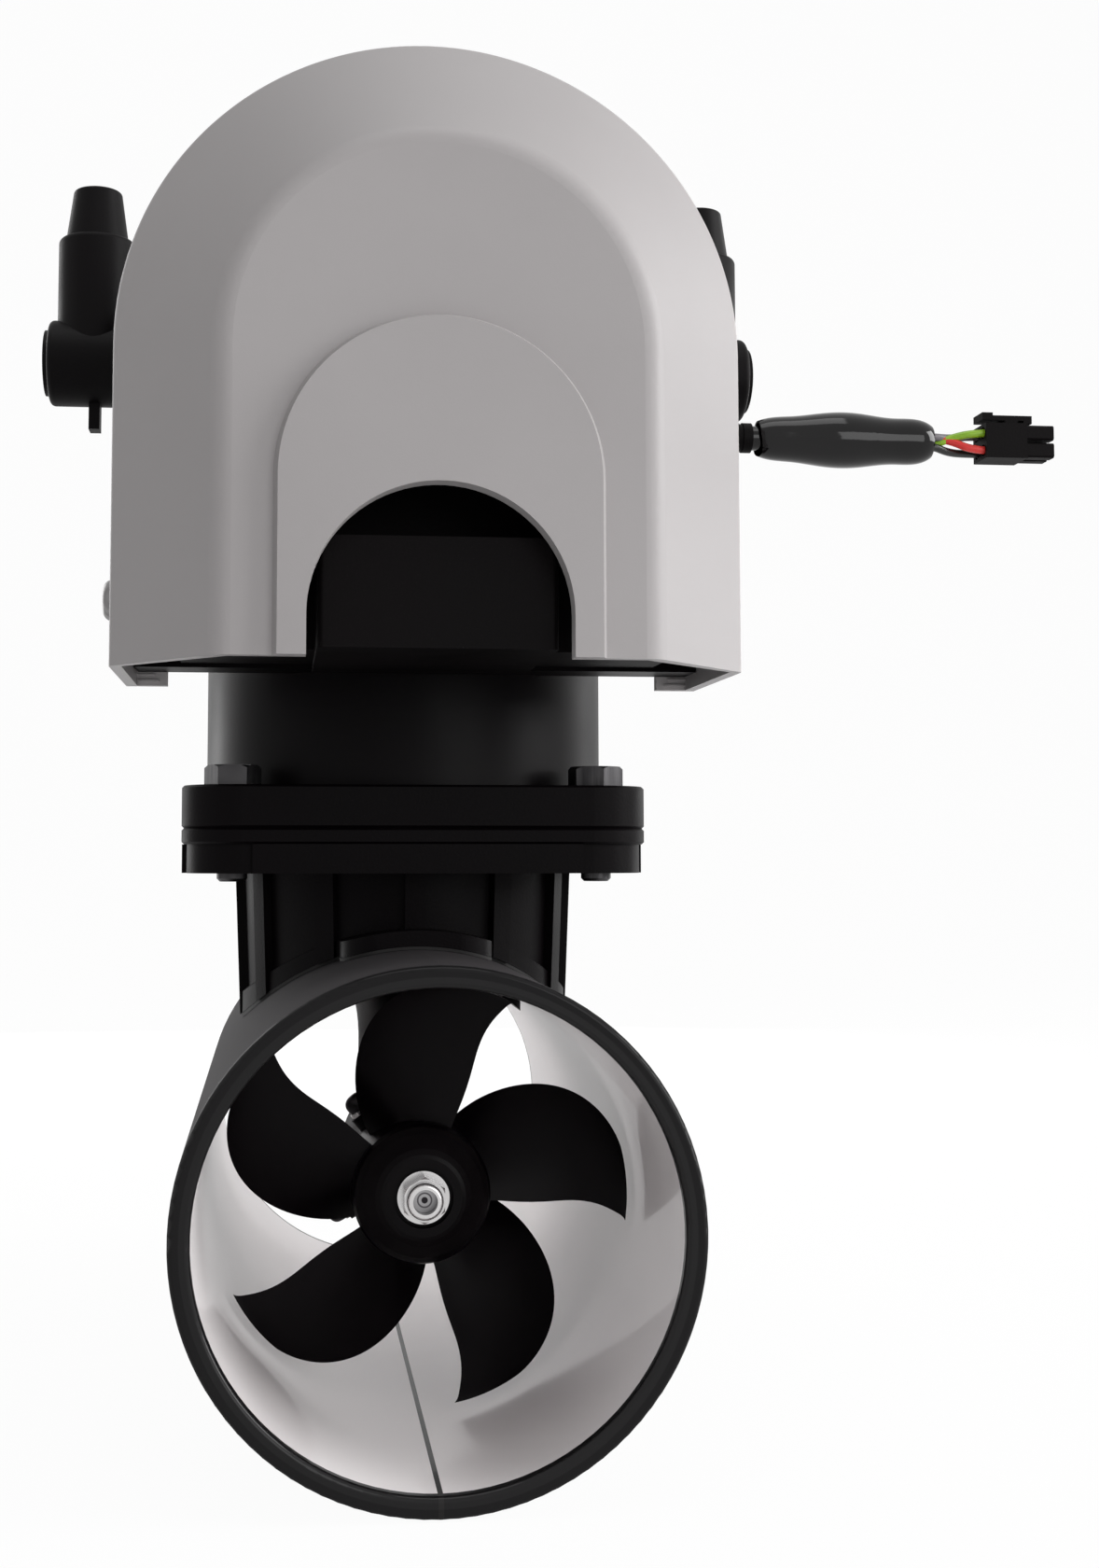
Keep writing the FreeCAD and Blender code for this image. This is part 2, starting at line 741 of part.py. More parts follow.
def drive_seal():
    return lip_seal(drive_shaft_d / 2, drive_bore_r, seal_w,
                    (0, 0, neck_top_z - seal_w), (0, 0, 1))


def prop_seal():
    return lip_seal(prop_shaft_d / 2, prop_seal_od / 2, seal_w, (0, pod_front_y, 0), (0, 1, 0))


# ----------------------------------------------------------------- drive shafts
def coupling_split_z():
    return cup_floor_z + 1.2 + coupling_hub_t


def drive_shaft():
    step_z = lower_bearing_z() - clear / 2
    tip_z = (cone_distance - gear_face) * math.cos(gear_ratio_angle) + 0.6
    thin = cylinder(pinion_bore_d / 2, step_z - tip_z, (0, 0, tip_z))
    thick = cylinder(drive_shaft_d / 2, coupling_split_z() - step_z, (0, 0, step_z))
    return thin.fuse(thick)


def wedge(inner_r, outer_r, middle_deg, width_deg, z0, z1):
    piece = Part.makeCylinder(outer_r, z1 - z0, Vec(0, 0, z0), Vec(0, 0, 1), width_deg)
    piece = piece.cut(cylinder(inner_r, z1 - z0, (0, 0, z0)))
    piece.rotate(Vec(0, 0, 0), Vec(0, 0, 1), middle_deg - width_deg / 2)
    return piece


def coupling_hub(bore_r, plate_z, jaw_z, jaw_turn):
    hub = cylinder(coupling_r, coupling_hub_t, (0, 0, plate_z))
    jaws = [
        wedge(7.0, coupling_r, jaw_turn + 120 * index, 36, jaw_z, jaw_z + coupling_jaw_h)
        for index in range(3)
    ]
    hub = fuse([hub] + jaws)
    return hub.cut(cylinder(bore_r + run_clear, coupling_hub_t, (0, 0, plate_z)))


def drive_coupling():
    return coupling_hub(drive_shaft_d / 2, coupling_split_z() - coupling_hub_t,
                        coupling_split_z(), 0)


def motor_coupling():
    plate_z = coupling_split_z() + coupling_jaw_h + 2 * clear
    return coupling_hub(motor_shaft_d / 2, plate_z, plate_z - coupling_jaw_h, 60)


def coupling_spider():
    z0 = coupling_split_z() + clear
    z1 = z0 + coupling_jaw_h
    legs = [wedge(6.0, coupling_r - 0.3, 30 + 60 * index, 23, z0, z1) for index in range(6)]
    core = cylinder(6.7, z1 - z0, (0, 0, z0)).cut(cylinder(4.4, z1 - z0, (0, 0, z0)))
    return fuse([core] + legs)


def motor_shaft():
    start = coupling_split_z() + coupling_jaw_h + 2 * clear
    return cylinder(motor_shaft_d / 2, can_top_z - 3.0 - start, (0, 0, start))


def prop_shaft():
    rear_y = -(cone_distance - gear_face) * math.sin(gear_ratio_angle) - 0.6
    shoulder_y = hub_front_y + nut_recess + 4.0
    tip_y = hub_front_y + nut_recess - 4.6
    body = cylinder(prop_shaft_d / 2, rear_y - shoulder_y, (0, shoulder_y, 0), (0, 1, 0))
    thread = cylinder(thread_d / 2, shoulder_y - tip_y, (0, tip_y, 0), (0, 1, 0))
    cross = cylinder(pin_d / 2 + run_clear, prop_shaft_d * 2, (-prop_shaft_d, pin_y(), 0), (1, 0, 0))
    return body.fuse(thread).cut(cross)


def pin_y():
    return hub_back_y - pin_d


def drive_pin():
    return cylinder(pin_d / 2, pin_length, (-pin_length / 2, pin_y(), 0), (1, 0, 0))


# -------------------------------------------------------------------- propeller
def blade_point(radius, degrees, lift):
    """A point on the blade's helix, lifted off it along the section's normal."""
    slope = math.atan2(prop_pitch, 2 * math.pi * radius)
    angle = math.radians(degrees) - lift * math.sin(slope) / radius
    y = blade_edge_y + prop_pitch * degrees / 360 + lift * math.cos(slope)
    return Vec(radius * math.cos(angle), y, radius * math.sin(angle))


def blade_section(radius, trailing, leading):
    share = (radius - hub_r) / (prop_tip_r - hub_r)
    thick = blade_root_t + (blade_tip_t - blade_root_t) * max(share, 0.0)
    sides = []
    for side in (-1, 1):
        points = []
        for step in (0.0, 0.18, 0.45, 0.75, 1.0):
            lift = side * thick / 2 * math.sin(math.pi * step) ** 0.7 if 0 < step < 1 else 0.0
            points.append(blade_point(radius, trailing + (leading - trailing) * step, lift))
        curve = Part.BSplineCurve()
        curve.interpolate(points)
        sides.append(curve.toShape())
    return sides


def blade():
    """A skewed blade: its trailing edge is nearly straight, its leading edge sweeps
    back to the tip, and the tip ends in a small hook."""
    outline = (
        (0.20, -8.0, 67.0),
        (0.33, -7.8, 63.0),
        (0.46, -6.8, 56.5),
        (0.61, -5.4, 48.5),
        (0.74, -4.2, 41.0),
        (0.865, -5.0, 32.0),
        (0.95, -6.8, 22.5),
        (1.0, -8.8, 11.0),
    )
    sections = [blade_section(share * prop_tip_r, te, le) for share, te, le in outline]
    skin = Part.makeLoft([Part.Wire(sides) for sides in sections], False, False)
    caps = [Part.makeRuledSurface(*sections[end]) for end in (0, -1)]
    shell = Part.makeShell(skin.Faces + caps)
    shell.sewShape(0.001)
    solid = Part.makeSolid(shell.Shells[0] if shell.ShapeType != "Shell" else shell)
    if solid.Volume < 0:
        solid.reverse()
    return solid


def propeller():
    bore = prop_shaft_d / 2 + run_clear
    seat_y = hub_front_y + nut_recess
    hub = lathe_y([
        (bore, hub_back_y),
        (hub_r - 0.6, hub_back_y),
        (hub_r, hub_back_y - 1.0),
        (hub_r, hub_back_y - 11.6),
        (hub_r - 0.25, hub_front_y + 6.6),
        (hub_r - 0.9, hub_front_y + 5.0),
        (hub_r - 2.4, hub_front_y + 3.4),
        (nose_r + 1.6, hub_front_y + 1.0),
        (nose_r + 0.2, hub_front_y + 0.3),
        (nose_r - 0.8, hub_front_y),
        (7.4, hub_front_y),
        (7.4, seat_y),
        (thread_d / 2 + clear, seat_y),
        (thread_d / 2 + clear, seat_y + 4.0),
        (bore, seat_y + 4.0),
    ])
    hub.rotate(Vec(0, 0, 0), Vec(0, -1, 0), 26)
    blades = ring(blade(), 360 / blade_count, axis=(0, -1, 0), count=blade_count)
    body = fuse([hub] + blades)
    body = body.cut(cylinder(bore, hub_back_y - seat_y - 4, (0, seat_y + 4, 0), (0, 1, 0)))
    slot_half = pin_d / 2 + clear / 2
    slot_l = pin_length / 2 + clear
    return body.cut(block(-slot_l, slot_l, pin_y() - slot_half, hub_back_y, -slot_half, slot_half))


def prop_nut():
    """Flanged lock nut with a round collar; the shaft's end stays inside it."""
    seat_y = hub_front_y + nut_recess
    flange = cylinder(6.5, 1.2, (0, seat_y - 1.2, 0), (0, 1, 0))
    body = hexagon(10.0, 4.6, (0, seat_y - 1.0, 0), (0, -1, 0), turn=30)
    collar = cylinder(4.5, 2.4, (0, seat_y - 7.8, 0), (0, 1, 0))
    rim = [e for e in collar.Edges if abs(e.CenterOfMass.y - (seat_y - 7.8)) < 1e-6]
    collar = collar.makeFillet(0.9, rim)
    nut = fuse([flange, body, collar])
    return nut.cut(cylinder(thread_d / 2 + run_clear, 10, (0, seat_y - 9, 0), (0, 1, 0)))


# ------------------------------------------------------------------------ motor
def motor_flange():
    plate = flange_plate(motor_seat_z, can_base_z, edge=plate_edge)
    spigot = cylinder(can_in_r - clear / 2, 3.0, (0, 0, can_base_z))
    spigot = spigot.cut(cylinder(can_in_r - 5, 3.0, (0, 0, can_base_z)))
    body = plate.fuse(spigot)
    body = body.cut(cylinder(motor_bearing_od / 2 + run_clear, motor_bearing_w + clear,
                             (0, 0, can_base_z - motor_bearing_w - clear)))
    body = body.cut(cylinder(motor_shaft_d / 2 + 2, motor_flange_t, (0, 0, motor_seat_z)))
    for x, y in at_bolts():
        body = body.cut(cylinder(bolt_d / 2 + clear, motor_flange_t, (x, y, motor_seat_z)))
    return body


def motor_can():
    can = cylinder(can_r, can_height, (0, 0, can_base_z))
    can = can.cut(cylinder(can_in_r, can_height, (0, 0, can_base_z)))
    for hole in at_cap_screws(cap_screw_d / 2 + clear / 2, 9.0, can_top_z - 9.0):
        can = can.cut(hole)
    return can


def at_cap_screws(radius, length, z):
    place_r = (can_r + can_in_r) / 2
    return ring(cylinder(radius, length, (place_r, 0, z)), 360 / cap_screw_count,
                count=cap_screw_count)


def motor_cap():
    rim_z = can_top_z + cap_rim_t
    top_z = rim_z + cap_dome_h
    spigot_r = can_in_r - clear / 2
    seat_r = motor_bearing_od / 2 + run_clear
    seat_z = can_top_z - 4.0
    cap = lathe_z([
        (0, top_z),
        (can_in_r * 0.62, top_z),
        (can_in_r * 0.86, top_z - cap_dome_h * 0.28),
        (can_in_r - 3, rim_z + 1.5),
        (can_in_r - 2, rim_z),
        (can_r, rim_z),
        (can_r, can_top_z),
        (spigot_r, can_top_z),
        (spigot_r, can_top_z - 3),
        (spigot_r - 4, can_top_z - 3),
        (spigot_r - 4, can_top_z + 2),
        (seat_r + 6, can_top_z + 2),
        (seat_r + 5, seat_z - motor_bearing_w),
        (seat_r, seat_z - motor_bearing_w),
        (seat_r, seat_z + clear),
        (motor_shaft_d / 2 + 3, seat_z + clear),
        (motor_shaft_d / 2 + 3, can_top_z + 2),
        (0, can_top_z + 2),
    ])
    for hole in at_cap_screws(cap_screw_d / 2 + clear / 2, cap_rim_t, can_top_z):
        cap = cap.cut(hole)
    return cap


def motor_cap_screws():
    rim_z = can_top_z + cap_rim_t
    shanks = at_cap_screws(cap_screw_d / 2, cap_rim_t + 8.0, can_top_z - 8.0)
    heads = at_cap_screws(cap_screw_d * 0.92, cap_screw_d, rim_z)
    return [shank.fuse(head).removeSplitter() for shank, head in zip(shanks, heads)]


def stator_z():
    return can_base_z + (can_height - stator_length) / 2 - 2


def stator_core():
    z0 = stator_z()
    outer_r = can_in_r - clear / 2
    yoke = cylinder(outer_r, stator_length, (0, 0, z0))
    yoke = yoke.cut(cylinder(stator_bore_r + slot_depth, stator_length, (0, 0, z0)))
    tooth = block(0, stator_bore_r + slot_depth + 2, -tooth_w / 2, tooth_w / 2,
                  z0, z0 + stator_length)
    teeth = ring(tooth, 360 / slot_count, count=slot_count)
    core = fuse([yoke] + [t.cut(cylinder(stator_bore_r, stator_length, (0, 0, z0))) for t in teeth])
    return core


def stator_windings():
    z0 = stator_z()
    near = stator_bore_r + 1.6
    far = stator_bore_r + slot_depth - 0.8
    half = tooth_w / 2 + clear
    outer = block(near, far, -half - coil_t, half + coil_t,
                  z0 - 6.0, z0 + stator_length + 6.0)
    outer = outer.makeFillet(coil_t * 0.9, [e for e in outer.Edges if is_radial(e)])
    coil = outer.cut(block(near, far, -half, half, z0 - clear, z0 + stator_length + clear))
    return ring(coil, 360 / slot_count, count=slot_count)


def is_radial(edge):
    first, last = edge.Vertexes[0].Point, edge.Vertexes[-1].Point
    return abs(first.y - last.y) < 1e-6 and abs(first.z - last.z) < 1e-6


def rotor_core():
    core_r = stator_bore_r - air_gap - magnet_t - clear / 4
    core = cylinder(core_r, stator_length, (0, 0, stator_z()))
    core = core.cut(cylinder(motor_shaft_d / 2 + run_clear, stator_length, (0, 0, stator_z())))
    hole = cylinder(core_r * 0.16, stator_length, (core_r * 0.6, 0, stator_z()))
    for cut in ring(hole, 60, count=6):
        core = core.cut(cut)
    return core


def rotor_magnets():
    outer_r = stator_bore_r - air_gap
    width = 360 / magnet_count * 0.88
    return [
        wedge(outer_r - magnet_t, outer_r, index * 360 / magnet_count, width,
              stator_z(), stator_z() + stator_length)
        for index in range(magnet_count)
    ]


# ------------------------------------------------------------------ front cover
def cover_shell(shrink, bottom_z, face_back):
    """The cover's outline as one solid, smaller by a wall's thickness all round."""
    side_w = cover_half_w - shrink
    back = arch_prism(side_w, bottom_z, cover_arch_z, cover_side_front_y, cover_back_y)
    front = arch_taper((side_w, bottom_z, cover_arch_z, cover_side_front_y),
                       (face_half_w - shrink * 0.8, bottom_z, face_arch_z, face_back))
    return fuse([back, front])


def front_cover():
    outer = cover_shell(0.0, cover_bottom_z, cover_face_y)
    outer = outer.makeFillet(7.0, [e for e in outer.Edges if on_outline(e, cover_face_y)])
    outer = outer.makeFillet(2.0, [e for e in outer.Edges if on_outline(e, cover_side_front_y)])
    plate_y = cover_face_y - plate_t
    plate = arch_taper((plate_half_w, cover_bottom_z, plate_arch_z, cover_face_y + 1),
                       (plate_half_w - 1.4, cover_bottom_z, plate_arch_z, plate_y))
    inner = cover_shell(cover_wall, cover_bottom_z - 5, cover_face_y + cover_wall)
    inner = inner.cut(block(-cover_half_w, cover_half_w, cover_back_y - cover_wall,
                            cover_back_y + 1, 0, 400))
    rear_hole = arch_prism(cover_half_w - cover_lip, cover_bottom_z - 5, cover_arch_z,
                           cover_back_y - cover_wall - 1, cover_back_y + 1)
    mouth = arch_prism(mouth_half_w, cover_bottom_z - 5, mouth_arch_z,
                       plate_y - 1, cover_face_y + cover_wall + 6)
    body = outer.fuse(plate)
    for cut in (inner, rear_hole, mouth):
        body = body.cut(cut)
    ribs = []
    for side in (-1, 1):
        for index in range(lip_rib_count):
            rib_z = cover_bottom_z + 1.0 + index * lip_rib_step
            near = cover_half_w - cover_wall - 0.2 + 1
            far = cover_half_w - cover_lip + 2.2 + index * 0.9
            ribs.append(block(*sorted((side * near, side * far)), cover_back_y - cover_wall - 0.8,
                              cover_back_y - cover_wall + 0.4, rib_z, rib_z + 0.5))
    body = fuse([body] + ribs)
    for side in (-1, 1):
        hole = cylinder(3.2, 12, (side * (cover_half_w + 2), cover_screw_y, cover_screw_z),
                        (-side, 0, 0))
        body = body.cut(hole)
    gland_hole = cylinder(lead_d / 2 + 3.2, 30, (cover_half_w - 15, lead_y, lead_z), (1, 0, 0))
    gland_slot = block(cover_half_w - 15, cover_half_w + 5, lead_y, cover_back_y + 1,
                       lead_z - lead_d / 2 - 3.2, lead_z + lead_d / 2 + 3.2)
    return body.cut(gland_hole).cut(gland_slot)


def on_outline(edge, y):
    """True for the arch edges of an outline in one plane, without its bottom line."""
    box = edge.BoundBox
    flat = abs(box.YMin - y) < 1e-4 and abs(box.YMax - y) < 1e-4
    return flat and box.ZMax - box.ZMin > 1.0


def cover_screws():
    screws = []
    for side in (-1, 1):
        at = (side * cover_half_w, cover_screw_y, cover_screw_z)
        head = cylinder(button_d / 2, button_h, at, (side, 0, 0))
        rim = [e for e in head.Edges
               if abs(abs(e.CenterOfMass.x) - cover_half_w - button_h) < 1e-6]
        head = head.makeFillet(button_h * 0.6, rim)
        shank = cylinder(3.0, 11.0, at, (-side, 0, 0))
        socket = hexagon(4.0, 2.4, (side * (cover_half_w + button_h), cover_screw_y, cover_screw_z),
                         (-side, 0, 0))
        screws.append(head.fuse(shank).cut(socket).removeSplitter())
    return screws


# ------------------------------------------------------------------- controller
def controller_frame():
    """Cast back plate in the cover's rear opening, hollowed to sit on the motor."""
    half_w = frame_half_w
    plate = arch_prism(half_w, frame_bottom_z, cover_arch_z, frame_front_y, frame_back_y)
    ears = [
        block(*sorted((side * (half_w - 7), side * half_w)), cover_screw_y - 8, frame_front_y + 1,
              cover_screw_z - 8, cover_screw_z + 8)
        for side in (-1, 1)
    ]
    fins = []
    for index in range(fin_count):
        x = (index - (fin_count - 1) / 2) * fin_pitch
        fins.append(block(x - 1.3, x + 1.3, frame_back_y - 1, frame_back_y + 9,
                          can_top_z + cap_rim_t + cap_dome_h + 2, cover_arch_z + frame_half_w))
    outline = arch_prism(half_w - 8, frame_bottom_z, cover_arch_z, frame_back_y - 2, frame_back_y + 12)
    body = fuse([plate] + ears + [fin.common(outline) for fin in fins])
    body = body.cut(cylinder(can_r + joint_gap, can_height + cap_rim_t + cap_dome_h + 2,
                             (0, 0, can_base_z)))
    for side in (-1, 1):
        body = body.cut(cylinder(3.0 + clear / 2, 12, (side * (half_w + 2), cover_screw_y,
                                                        cover_screw_z), (-side, 0, 0)))
    gland = cylinder(lead_d / 2 + 2.8, 20, (half_w - 9, lead_y, lead_z), (1, 0, 0))
    return body.cut(gland)


def controller_case():
    """Black electronics box behind the cover's arched mouth, with a low nose."""
    z0 = frame_bottom_z + 1
    box = arch_prism(frame_half_w - 12, z0, cover_arch_z - 4, frame_front_y - case_depth,
                     frame_front_y)
    nose = block(-nose_half_w, nose_half_w, frame_front_y - nose_depth, frame_front_y,
                 z0 - 2, nose_top_z)
    nose = nose.makeFillet(1.5, [e for e in nose.Edges if is_vertical(e)])
    hollow = arch_prism(frame_half_w - 15, z0 + board_rise - 3, cover_arch_z - 4,
                        frame_front_y - case_depth + 3, frame_front_y)
    return box.fuse(nose).cut(hollow).removeSplitter()


def circuit_board():
    return arch_prism(frame_half_w - 16, frame_bottom_z + board_rise, cover_arch_z - 6,
                      frame_front_y - board_gap - board_t, frame_front_y - board_gap)


def board_posts():
    posts = []
    low_z = frame_bottom_z + board_rise + post_d
    high_z = cover_arch_z + (frame_half_w - 16) * 0.6
    for side in (-1, 1):
        for x, z in (((frame_half_w - 16) - post_d, low_z), ((frame_half_w - 16) * 0.5, high_z)):
            posts.append(cylinder(post_d / 2, board_gap - clear / 2,
                                  (side * x, frame_front_y - board_gap, z), (0, 1, 0)))
    return posts


def power_capacitors():
    cans = []
    height = case_depth - board_gap - board_t - 6
    middle_z = (frame_bottom_z + board_rise + cover_arch_z) / 2
    for index in range(capacitor_count):
        x = (index - (capacitor_count - 1) / 2) * (capacitor_d + 4)
        at = (x, frame_front_y - board_gap - board_t - height, middle_z)
        cans.append(cylinder(capacitor_d / 2, height, at, (0, 1, 0)))
    return cans


# ---------------------------------------------------------- battery connections
def terminal_blocks():
    """Two insulating arms from the frame along the motor, one stud on each."""
    blocks = []
    for side in (-1, 1):
        low_z = terminal_z - block_h / 2
        arm = block(*sorted((side * 40, side * terminal_x)), cover_back_y + clear,
                    block_back_y, low_z, low_z + block_h)
        outer = [e for e in arm.Edges
                 if is_vertical(e) and abs(e.CenterOfMass.x) > 50 and e.CenterOfMass.y > 0]
        arm = arm.makeFillet(6.0, outer)
        neck_x = cover_half_w - cover_lip - 1.0
        arm = arm.fuse(block(*sorted((side * 40, side * neck_x)), frame_back_y + clear / 4,
                             cover_back_y + 1, low_z, low_z + block_h))
        arm = arm.common(arch_prism(cover_half_w - cover_lip - 1.0, 0, cover_arch_z,
                                    frame_back_y, cover_back_y + clear).fuse(
            block(-terminal_x, terminal_x, cover_back_y + clear, block_back_y, low_z, low_z + block_h)))
        arm = arm.cut(cylinder(can_r + joint_gap, 300, (0, 0, can_base_z)))
        arm = arm.cut(cylinder(stud_d / 2 + clear / 2, 12,
                               (side * (terminal_x - 12), terminal_y, terminal_z), (side, 0, 0)))
        blocks.append(arm)
    return blocks


def terminal_studs():
    studs = []
    for side in (-1, 1):
        at = (side * (terminal_x - 12 + clear), terminal_y, terminal_z)
        studs.append(cylinder(stud_d / 2, 12 + stud_reach, at, (side, 0, 0)))
    return studs


def stud_nuts():
    nuts = []
    for side in (-1, 1):
        at = (side * (terminal_x + 6), terminal_y, terminal_z)
        nut = hexagon(13.0, 6.5, at, (side, 0, 0), turn=30)
        washer = cylinder(8.0, 1.6, (side * (terminal_x + clear), terminal_y, terminal_z), (side, 0, 0))
        lock = cylinder(6.4, 3.8, (side * (terminal_x + 2), terminal_y, terminal_z), (side, 0, 0))
        bore = cylinder(stud_d / 2 + clear / 4, 20, (side * terminal_x, terminal_y, terminal_z),
                        (side, 0, 0))
        for piece in (washer, lock, nut):
            nuts.append(piece.cut(bore))
    return nuts


def battery_boot(side):
    """Elbow-shaped rubber cap: a domed barrel over the stud, a sleeve up to the cable."""
    y, z = terminal_y, terminal_z
    start_x = terminal_x + clear
    barrel_l = boot_x + boot_barrel_r + 0.7 - start_x
    barrel = cylinder(boot_barrel_r, barrel_l, (side * start_x, y, z), (side, 0, 0))
    end = [e for e in barrel.Edges if abs(abs(e.CenterOfMass.x) - start_x - barrel_l) < 1e-6]
    barrel = barrel.makeFillet(1.6, end)
    disc = cylinder(boot_barrel_r * 0.77, 2.3, (side * (start_x + barrel_l - 1), y, z), (side, 0, 0))
    shoulder_z = boot_top_z - 15.0
    sleeve = cylinder(boot_sleeve_r, shoulder_z - z, (side * boot_x, y, z))
    top = [e for e in sleeve.Edges if abs(e.CenterOfMass.z - shoulder_z) < 1e-6]
    sleeve = sleeve.makeFillet(1.6, top)
    tip = cone(boot_sleeve_r - 2.1, boot_sleeve_r - 4.2, 15.0, (side * boot_x, y, shoulder_z))
    rim = [e for e in tip.Edges if abs(e.CenterOfMass.z - boot_top_z) < 1e-6]
    tip = tip.makeFillet(0.9, rim)
    tab = block(side * boot_x - 1.6, side * boot_x + 1.6, y - 3, y + 3,
                z - boot_barrel_r - 7.5, z - boot_barrel_r + 2)
    body = fuse([barrel, disc, sleeve, tip, tab])
    room = cylinder(boot_barrel_r - boot_wall, barrel_l - boot_wall, (side * start_x, y, z),
                    (side, 0, 0))
    body = body.cut(room)
    return body.cut(cylinder(cable_entry_r, boot_top_z - z + 1, (side * boot_x, y, z)))


# ------------------------------------------------------------------ signal lead
def signal_gland():
    start = frame_half_w - 8
    step_x = gland_end_x - 12.0
    body = cylinder(lead_d / 2 + 2.6, step_x - start, (start, lead_y, lead_z), (1, 0, 0))
    rim = [e for e in body.Edges if abs(e.CenterOfMass.x - step_x) < 1e-6]
    body = body.makeFillet(1.2, rim)
    body = body.fuse(cylinder(gland_nose_d / 2, gland_end_x - step_x + 1, (step_x - 1, lead_y, lead_z),
                              (1, 0, 0)))
    for x in (step_x + 2.5, step_x + 5.5, step_x + 8.5):
        ring_cut = cylinder(gland_nose_d, 1.0, (x, lead_y, lead_z), (1, 0, 0))
        body = body.cut(ring_cut.cut(cylinder(gland_nose_d / 2 - 0.35, 1.0, (x, lead_y, lead_z), (1, 0, 0))))
    bore = cylinder(lead_d / 2 + 0.02, gland_end_x - start - 2, (start + 2, lead_y, lead_z), (1, 0, 0))
    return body.cut(bore)


def tube_along(points, radius):
    """A cord's tube: straight runs joined by arcs as large as the runs allow."""
    places = [Vec(*p) for p in points]
    edges = []
    start = places[0]
    for before, corner, after in zip(places, places[1:], places[2:]):
        into = (corner - before).normalize()
        away = (after - corner).normalize()
        turn = into.getAngle(away)
        reach = 0.45 * min((corner - before).Length, (after - corner).Length)
        arc_in = corner - into * reach
        arc_out = corner + away * reach
        arc_r = reach / math.tan(turn / 2)
        middle_way = (away - into).normalize()
        centre = corner + middle_way * (arc_r / math.cos(turn / 2))
        arc_mid = centre - middle_way * arc_r
        edges.append(Part.LineSegment(start, arc_in).toShape())
        edges.append(Part.Arc(arc_in, arc_mid, arc_out).toShape())
        start = arc_out
        print("cord radius", round(arc_r, 1))
    edges.append(Part.LineSegment(start, places[-1]).toShape())
    path = Part.Wire(edges)
    way = (places[1] - places[0]).normalize()
    profile = Part.Wire([Part.makeCircle(radius, places[0], way)])
    tube = path.makePipeShell([profile], True, False)
    print("cord volume", round(tube.Volume, 2), round(math.pi * radius ** 2 * path.Length, 2))
    return tube


def signal_cable():
    start = frame_half_w - 5.5
    end = (sleeve_start_x + sleeve_end_x) / 2
    bend = gland_end_x + 8
    return tube_along([
        (start, lead_y, lead_z),
        (bend, lead_y, lead_z),
        ((bend + end) / 2, lead_y - 0.4, lead_z - 0.3),
        (end, lead_y - 0.4, lead_z - 0.8),
    ], lead_d / 2)


def cable_sleeve():
    """Rubber sleeve with a double taper; it covers the end of the cable's jacket."""
    length = sleeve_end_x - sleeve_start_x
    outline = (
        (0.0, 0.62), (0.02, 0.67), (0.20, 0.82), (0.38, 0.96), (0.48, 1.0), (0.58, 0.97),
        (0.78, 0.83), (0.98, 0.68), (1.0, 0.60),
    )
    points = [Vec(sleeve_start_x + share * length, 0, size * sleeve_max_r)
              for share, size in outline]
    curve = Part.BSplineCurve()
    curve.interpolate(points)
    first = Vec(sleeve_start_x, 0, 0)
    last = Vec(sleeve_end_x, 0, 0)
    wire = Part.Wire([
        curve.toShape(),
        Part.makeLine(points[-1], last),
        Part.makeLine(last, first),
        Part.makeLine(first, points[0]),
    ])
    body = Part.Face(wire).revolve(Vec(0, 0, 0), Vec(1, 0, 0), 360)
    body.translate(Vec(0, lead_y, lead_z))
    middle = (sleeve_start_x + sleeve_end_x) / 2
    bore = cylinder(lead_d / 2 + 1.2, middle - sleeve_start_x + 2, (sleeve_start_x, lead_y - 0.2, lead_z - 0.4),
                    (1, 0, 0))
    mouth = cone(lead_d / 2 + 1.2, lead_d / 2 - 0.2, sleeve_end_x - middle - 2,
                 (middle + 2, lead_y - 0.2, lead_z - 0.4), (1, 0, 0))
    return body.cut(bore).cut(mouth)


def signal_wires():
    """Four short wires from the jacket's end to the plug, one across the others."""
    middle = (sleeve_start_x + sleeve_end_x) / 2 + clear
    lift = wire_d / 2 + 0.25
    row = plug_side / 4
    routes = (
        ((lift, lift), (-row, -row), 1.2),
        ((-lift, lift), (row, row), -0.6),
        ((lift, -lift), (-row, row), 0.5),
        ((-lift, -lift), (row, -row), -0.8),
    )
    wires = []
    for (y0, z0), (y1, z1), bow in routes:
        wires.append(tube_along([
            (middle, lead_y + y0, lead_z + z0 - 0.6),
            (middle + 11, lead_y + y0, lead_z + z0 - 0.5),
            (sleeve_end_x, lead_y + y0 * 0.9, lead_z + z0 * 0.9 + 0.1),
            (sleeve_end_x + 5.5, lead_y + (y0 + y1) / 2, lead_z + (z0 + z1) / 2 + bow),
            (plug_x - 3, lead_y + y1, lead_z + z1 - 0.1),
            (plug_x + 3.2, lead_y + y1, lead_z + z1),
        ], wire_d / 2))
    return wires


